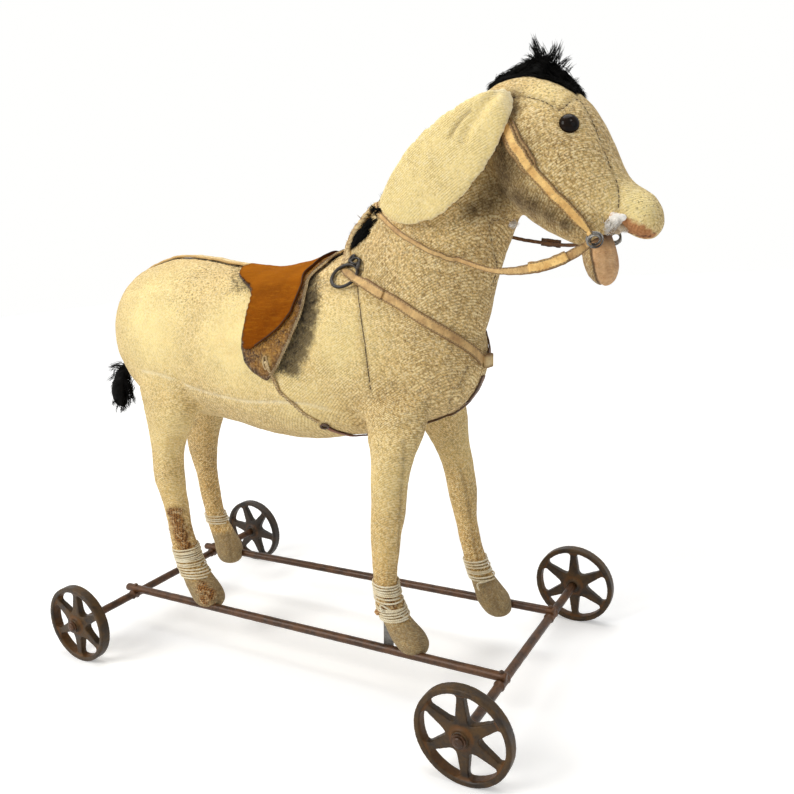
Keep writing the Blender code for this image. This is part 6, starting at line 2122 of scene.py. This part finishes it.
# %% Tail
TAIL_SHIFT = 0.0045
TAIL_SHRINK = (0.62, 0.8, 0.85)
TAIL_TIPS = [(131, 390), (134, 399), (129, 382), (136, 404), (108, 371), (110, 368), (107, 383), (110, 397),
             (113, 386), (113, 392), (116, 403), (124, 408), (131, 411), (136, 406), (112, 376), (110, 390),
             (120, 399), (128, 404)]
chance = random.Random(31)
tail = []
rows = node_points("tail")
rows = rows.mean(axis=0) + (rows - rows.mean(axis=0)) * TAIL_SHRINK + (TAIL_SHIFT, 0, 0)
tail_y = float(rows[:, 1].mean())
for tip_pixel in TAIL_TIPS:
    rank = (tip_pixel[1] - 366) / 45.0
    root = on_plane((122 + 9 * rank, 364 + 24 * rank), tail_y)
    tip = on_plane(tip_pixel, tail_y + chance.uniform(-0.006, 0.004))
    bend = Vector((-0.004, chance.uniform(-0.003, 0.003), 0.003))
    tail += lock(chance, root, tip, bend, 20, 0.0044)
for _ in range(46):
    spot = Vector(rows[chance.randrange(len(rows))])
    flow = Vector((-0.35 + chance.uniform(-0.5, 0.4), chance.uniform(-0.5, 0.5), -0.9)).normalized()
    tip = spot + flow * chance.uniform(0.006, 0.013)
    tail += lock(chance, spot, tip, Vector((-0.002, 0, 0)), 7, 0.0028, 5)
pad = hair_pad("tail_pad", "tail", 0.0046, hair_finish)
for point in pad.data.vertices:
    point.co.x += TAIL_SHIFT
hair_piece("tail", "tail", tail, pad, HAIR_THICKNESS * 1.15)

# %% [markdown]
# ## Torn places
# Where the cloth is worn through, its coarse threads stand up, and wadding shows at the mouth and the
# throat. Threads are strands that lie on the cloth, and a lump is a small rough ball, pressed flat.

# %% White stuffing at the mouth and the throat
WORN_PATCHES = (((168, 510), (190, 548)), ((196, 582), (216, 604)))
SHIN_SHARE = 0.72
chance = random.Random(47)


def fluff(place, radius, count):
    """A small cloud of curled pale fibres."""
    found = []
    for _ in range(count):
        way = jitter(chance, 1).normalized()
        other = way.orthogonal().normalized()
        spot = place + way * (radius * 0.75 * chance.random() ** 0.5)
        bow = radius * chance.uniform(0.25, 0.6)
        turn0 = chance.uniform(0, 6.28)
        drift = jitter(chance, 1) * (radius * 0.05)
        line = []
        for i in range(8):
            turn = turn0 + i * 0.6
            line.append(spot + (way * math.cos(turn) + other * math.sin(turn)) * bow + drift * i)
        found.append((line, 1))
    return found


burlap_ends = []
for _ in range(70):
    low_pixel, high_pixel = WORN_PATCHES[0] if chance.random() < SHIN_SHARE else WORN_PATCHES[1]
    pixel = [chance.uniform(one, two) for one, two in zip(low_pixel, high_pixel)]
    spot, way = on_cloth((pixel[0] + 0.12 * (pixel[1] - low_pixel[1]), pixel[1]))
    if not spot:
        continue
    flow = jitter(chance, 1)
    flow = (flow - way * flow.dot(way)).normalized()
    length = chance.uniform(0.0025, 0.006)
    curl = way.cross(flow) * chance.uniform(-0.0012, 0.0012)
    line = [spot + flow * (length * t) + curl * math.sin(t * 3.0)
            + way * (0.0002 + 0.0012 * math.sin(t * 3.1)) for t in (0, 0.25, 0.5, 0.75, 1)]
    burlap_ends.append((line, chance.uniform(0.7, 1.5)))
thread_finish, shader, place = start_finish("burlap_threads", 0.95)
tint = noise(place, 330, 3, 0.6)
tone = mixed(spread(tint, 0.38, 0.5), colour(0.11, 0.04, 0.01), colour(0.42, 0.2, 0.06))
paint(shader, mixed(spread(tint, 0.5, 0.6), tone, colour(0.82, 0.66, 0.4)))
strap_piece(strands("loose_burlap_threads", burlap_ends, 0.0003, thread_finish), slot_name="cotton_string")

wad_finish = two_toned("grey_beige_wadding", 1, (170, 5, 0.7), (0.35, 0.62), (0.26, 0.17, 0.09),
                       (0.66, 0.53, 0.36), 0.001)[0]
stained_finish = two_toned("stained_white_cotton", 1, (150, 4, 0.7), (0.3, 0.46), (0.62, 0.3, 0.09),
                           (0.97, 0.94, 0.88), 0.001)[0]
lump_finish = two_toned("orange_brown_lump", 1, (260, 4, 0.7), (0.35, 0.62), (0.24, 0.1, 0.03),
                        (0.7, 0.44, 0.2), 0.001)[0]


def wad(name, pixel, size, sink, finish, seed):
    """A torn lump of wadding, flattened on the cloth behind a pixel."""
    spot, way = edge_cloth(pixel)
    bpy.ops.mesh.primitive_ico_sphere_add(subdivisions=4, radius=1.0)
    piece = bpy.context.active_object
    piece.name = name
    table = points_of(piece)
    shift = Vector((seed, 0, 0))
    rough = np.array([1.0 + 0.45 * noise_at(Vector(point) * 1.3 + shift)
                      + 0.16 * noise_at(Vector(point) * 4.5) for point in table])
    lean = way.to_track_quat("Z", "Y").to_matrix()
    set_points(piece, (table * rough[:, None] * np.array(size)) @ np.array(lean).T
               + np.array(spot - way * sink))
    dress(piece, finish)
    return piece


THROAT = next(pixel for pixel in [(519 - step, 224) for step in range(60)] if on_cloth(pixel)[0])
WADS = [((617, 218), (0.0062, 0.0046, 0.0034), 0.0002, stained_finish, 1),
        ((615, 229), (0.0062, 0.0052, 0.004), 0.0006, wad_finish, 4),
        ((622, 227), (0.0036, 0.005, 0.0032), 0.0006, wad_finish, 8),
        ((THROAT[0] - 5, 224), (0.0045, 0.0028, 0.0024), 0.0002, stained_finish, 12)]
strap_piece(joined([wad("wad", *row) for row in WADS], "torn_wadding"), slot_name="cotton_string")
ankle_lump = wad("torn_ankle_lump", (374, 611), (0.0032, 0.0026, 0.003), -0.0012, lump_finish, 6)
strap_piece(ankle_lump, slot_name="cotton_string")
frays = []
for i in range(0, len(tie_line) - 4, 3):
    if chance.random() < 0.35:
        continue
    way = jitter(chance, 1).normalized()
    way = (way + tie_outs[i] * 0.6 + (tie_line[i + 2] - tie_line[i]).normalized() * 1.2).normalized()
    start = tie_line[i] + tie_outs[i] * 0.0022
    bend = jitter(chance, 0.0007)
    length = chance.uniform(0.003, 0.008)
    line = [start + way * (length * t) + bend * math.sin(3.0 * t) for t in (0, 0.3, 0.6, 1)]
    frays.append((line, chance.uniform(0.8, 2.2)))
strap_piece(strands("frayed_tie_ends", frays, 0.0003, pale_leather), slot_name="pale_leather")

wisps = []
WISPS = [((611, 222), 0.0042, 150, 0.002), ((618, 219), 0.0036, 120, 0.002),
         ((624, 228), 0.0026, 60, 0.001), ((607, 230), 0.0026, 60, 0.001),
         ((THROAT[0] - 5, 223), 0.0036, 110, 0.001)]
for pixel, radius, count, out in WISPS:
    spot, way = on_cloth(pixel)
    if spot:
        wisps += fluff(spot + way * out, radius, count)
strap_piece(strands("stuffing_wisps", wisps, 0.00022, fluff_finish), slot_name="cotton_string")

# %% Hairs of the dark nap round the saddle
chance = random.Random(59)
nap_finish = two_toned("dark_nap_hairs", 0.85, (260, 3, 0.6), (0.4, 0.6), (0.035, 0.026, 0.014),
                       (0.26, 0.2, 0.11))[0]


def nap_pixel():
    share = chance.random()
    return 312 - 34 * share ** 1.6 + chance.gauss(0, 5.5), 276 + 98 * share


def edge_pixel():
    share = chance.random()
    return 338 - 32 * share ** 0.8, 254 + 20 * share + chance.gauss(0, 1.5) + 2.0


def rear_pixel():
    pixel = chance.uniform(232, 250), chance.uniform(260, 292)
    return pixel if pixel[0] <= 236 + 0.55 * (pixel[1] - 258) else None


def short_hairs(count, pixel_of, towards, loose, lengths, bow):
    """Hairs on the cloth behind random pixels. They lean one way, and bow up from the cloth."""
    found = []
    for _ in range(count):
        pixel = pixel_of()
        spot, way = on_cloth(pixel) if pixel else (None, None)
        if not spot:
            continue
        lean = Vector(towards) + jitter(chance, loose)
        lean = (lean - way * lean.dot(way)).normalized()
        length = chance.uniform(*lengths)
        line = [spot - way * 0.0003 + lean * (length * t) + way * (bow * math.sin(t * 2.2))
                for t in (0, 0.35, 0.7, 1)]
        found.append((line, 1))
    return found


NAP_RULE = (2600, nap_pixel, (0.55, 0, 0.8), 0.35, (0.0018, 0.0038), 0.0011)
# the black hairs along the saddle's front edge also stand for painted shade under that edge
EDGE_RULE = (620, edge_pixel, (0.6, 0, 0.3), 0.35, (0.002, 0.0042), 0.0016)
REAR_RULE = (420, rear_pixel, (-0.4, 0, -0.5), 0.5, (0.0015, 0.004), 0.0012)
for name, thickness, finish, rule in (("dark_nap", 0.00013, nap_finish, NAP_RULE),
                                      ("black_hair_and_shade_under_saddle", 0.00024, hair_finish, EDGE_RULE),
                                      ("brown_hairs_behind_saddle", 0.00014, nap_finish, REAR_RULE)):
    strap_piece(strands(name, short_hairs(*rule), thickness, finish), slot_name="black_hair")

# %% Broken thread under the crupper
crupper_thread = []
for i, (centre, side) in enumerate(crupper_path[:-3]):
    near = centre - side * (crupper_widths[i] / 2 + 0.0004) * (1.0 if side.y > 0 else -1.0)
    spot, way = nearest(near)
    if chance.random() < 0.22:
        continue
    end, end_way = nearest(near + (crupper_path[i + 1][0] - centre) * 1.05)
    line = [spot + way * 0.0002, spot.lerp(end, 0.5) + way * 0.0006, end + end_way * 0.0002, end]
    crupper_thread.append((line, 1.0 + 0.8 * chance.random()))
strap_piece(strands("broken_crupper_thread", crupper_thread, 0.0005, nap_finish), slot_name="black_hair")

# %% Stitches along the seams
chance = random.Random(71)
stitch_finish = two_toned("dark_seam_thread", 0.8, (500, 3, 0.6), (0.4, 0.6), (0.02, 0.013, 0.008),
                          (0.1, 0.06, 0.03))[0]
SEWN = ((SEAMS[2], 3, 1), (SEAMS[0], 2, 1.2), (SEAMS[1], 3, 0.9), (SEAMS[4], 4, 0.7))
STITCH_POINTS = 3
dashes = []
for line, pitch, wide in SEWN:
    for side in (-1, 1):
        for i in range(0, len(line) - STITCH_POINTS, pitch):
            if chance.random() < 0.16:
                continue
            run = []
            for k in range(STITCH_POINTS):
                spot, way = nearest(mirrored(line[i + k], side))
                run.append(spot + way * (0.00016 if k == 1 else -0.0001) + jitter(chance, 0.00012))
            dashes.append((run + [run[-1] + (run[-1] - run[-2]) * 0.2], wide))
strap_piece(strands("seam_stitches", dashes, 0.0004, stitch_finish), slot_name="black_hair")
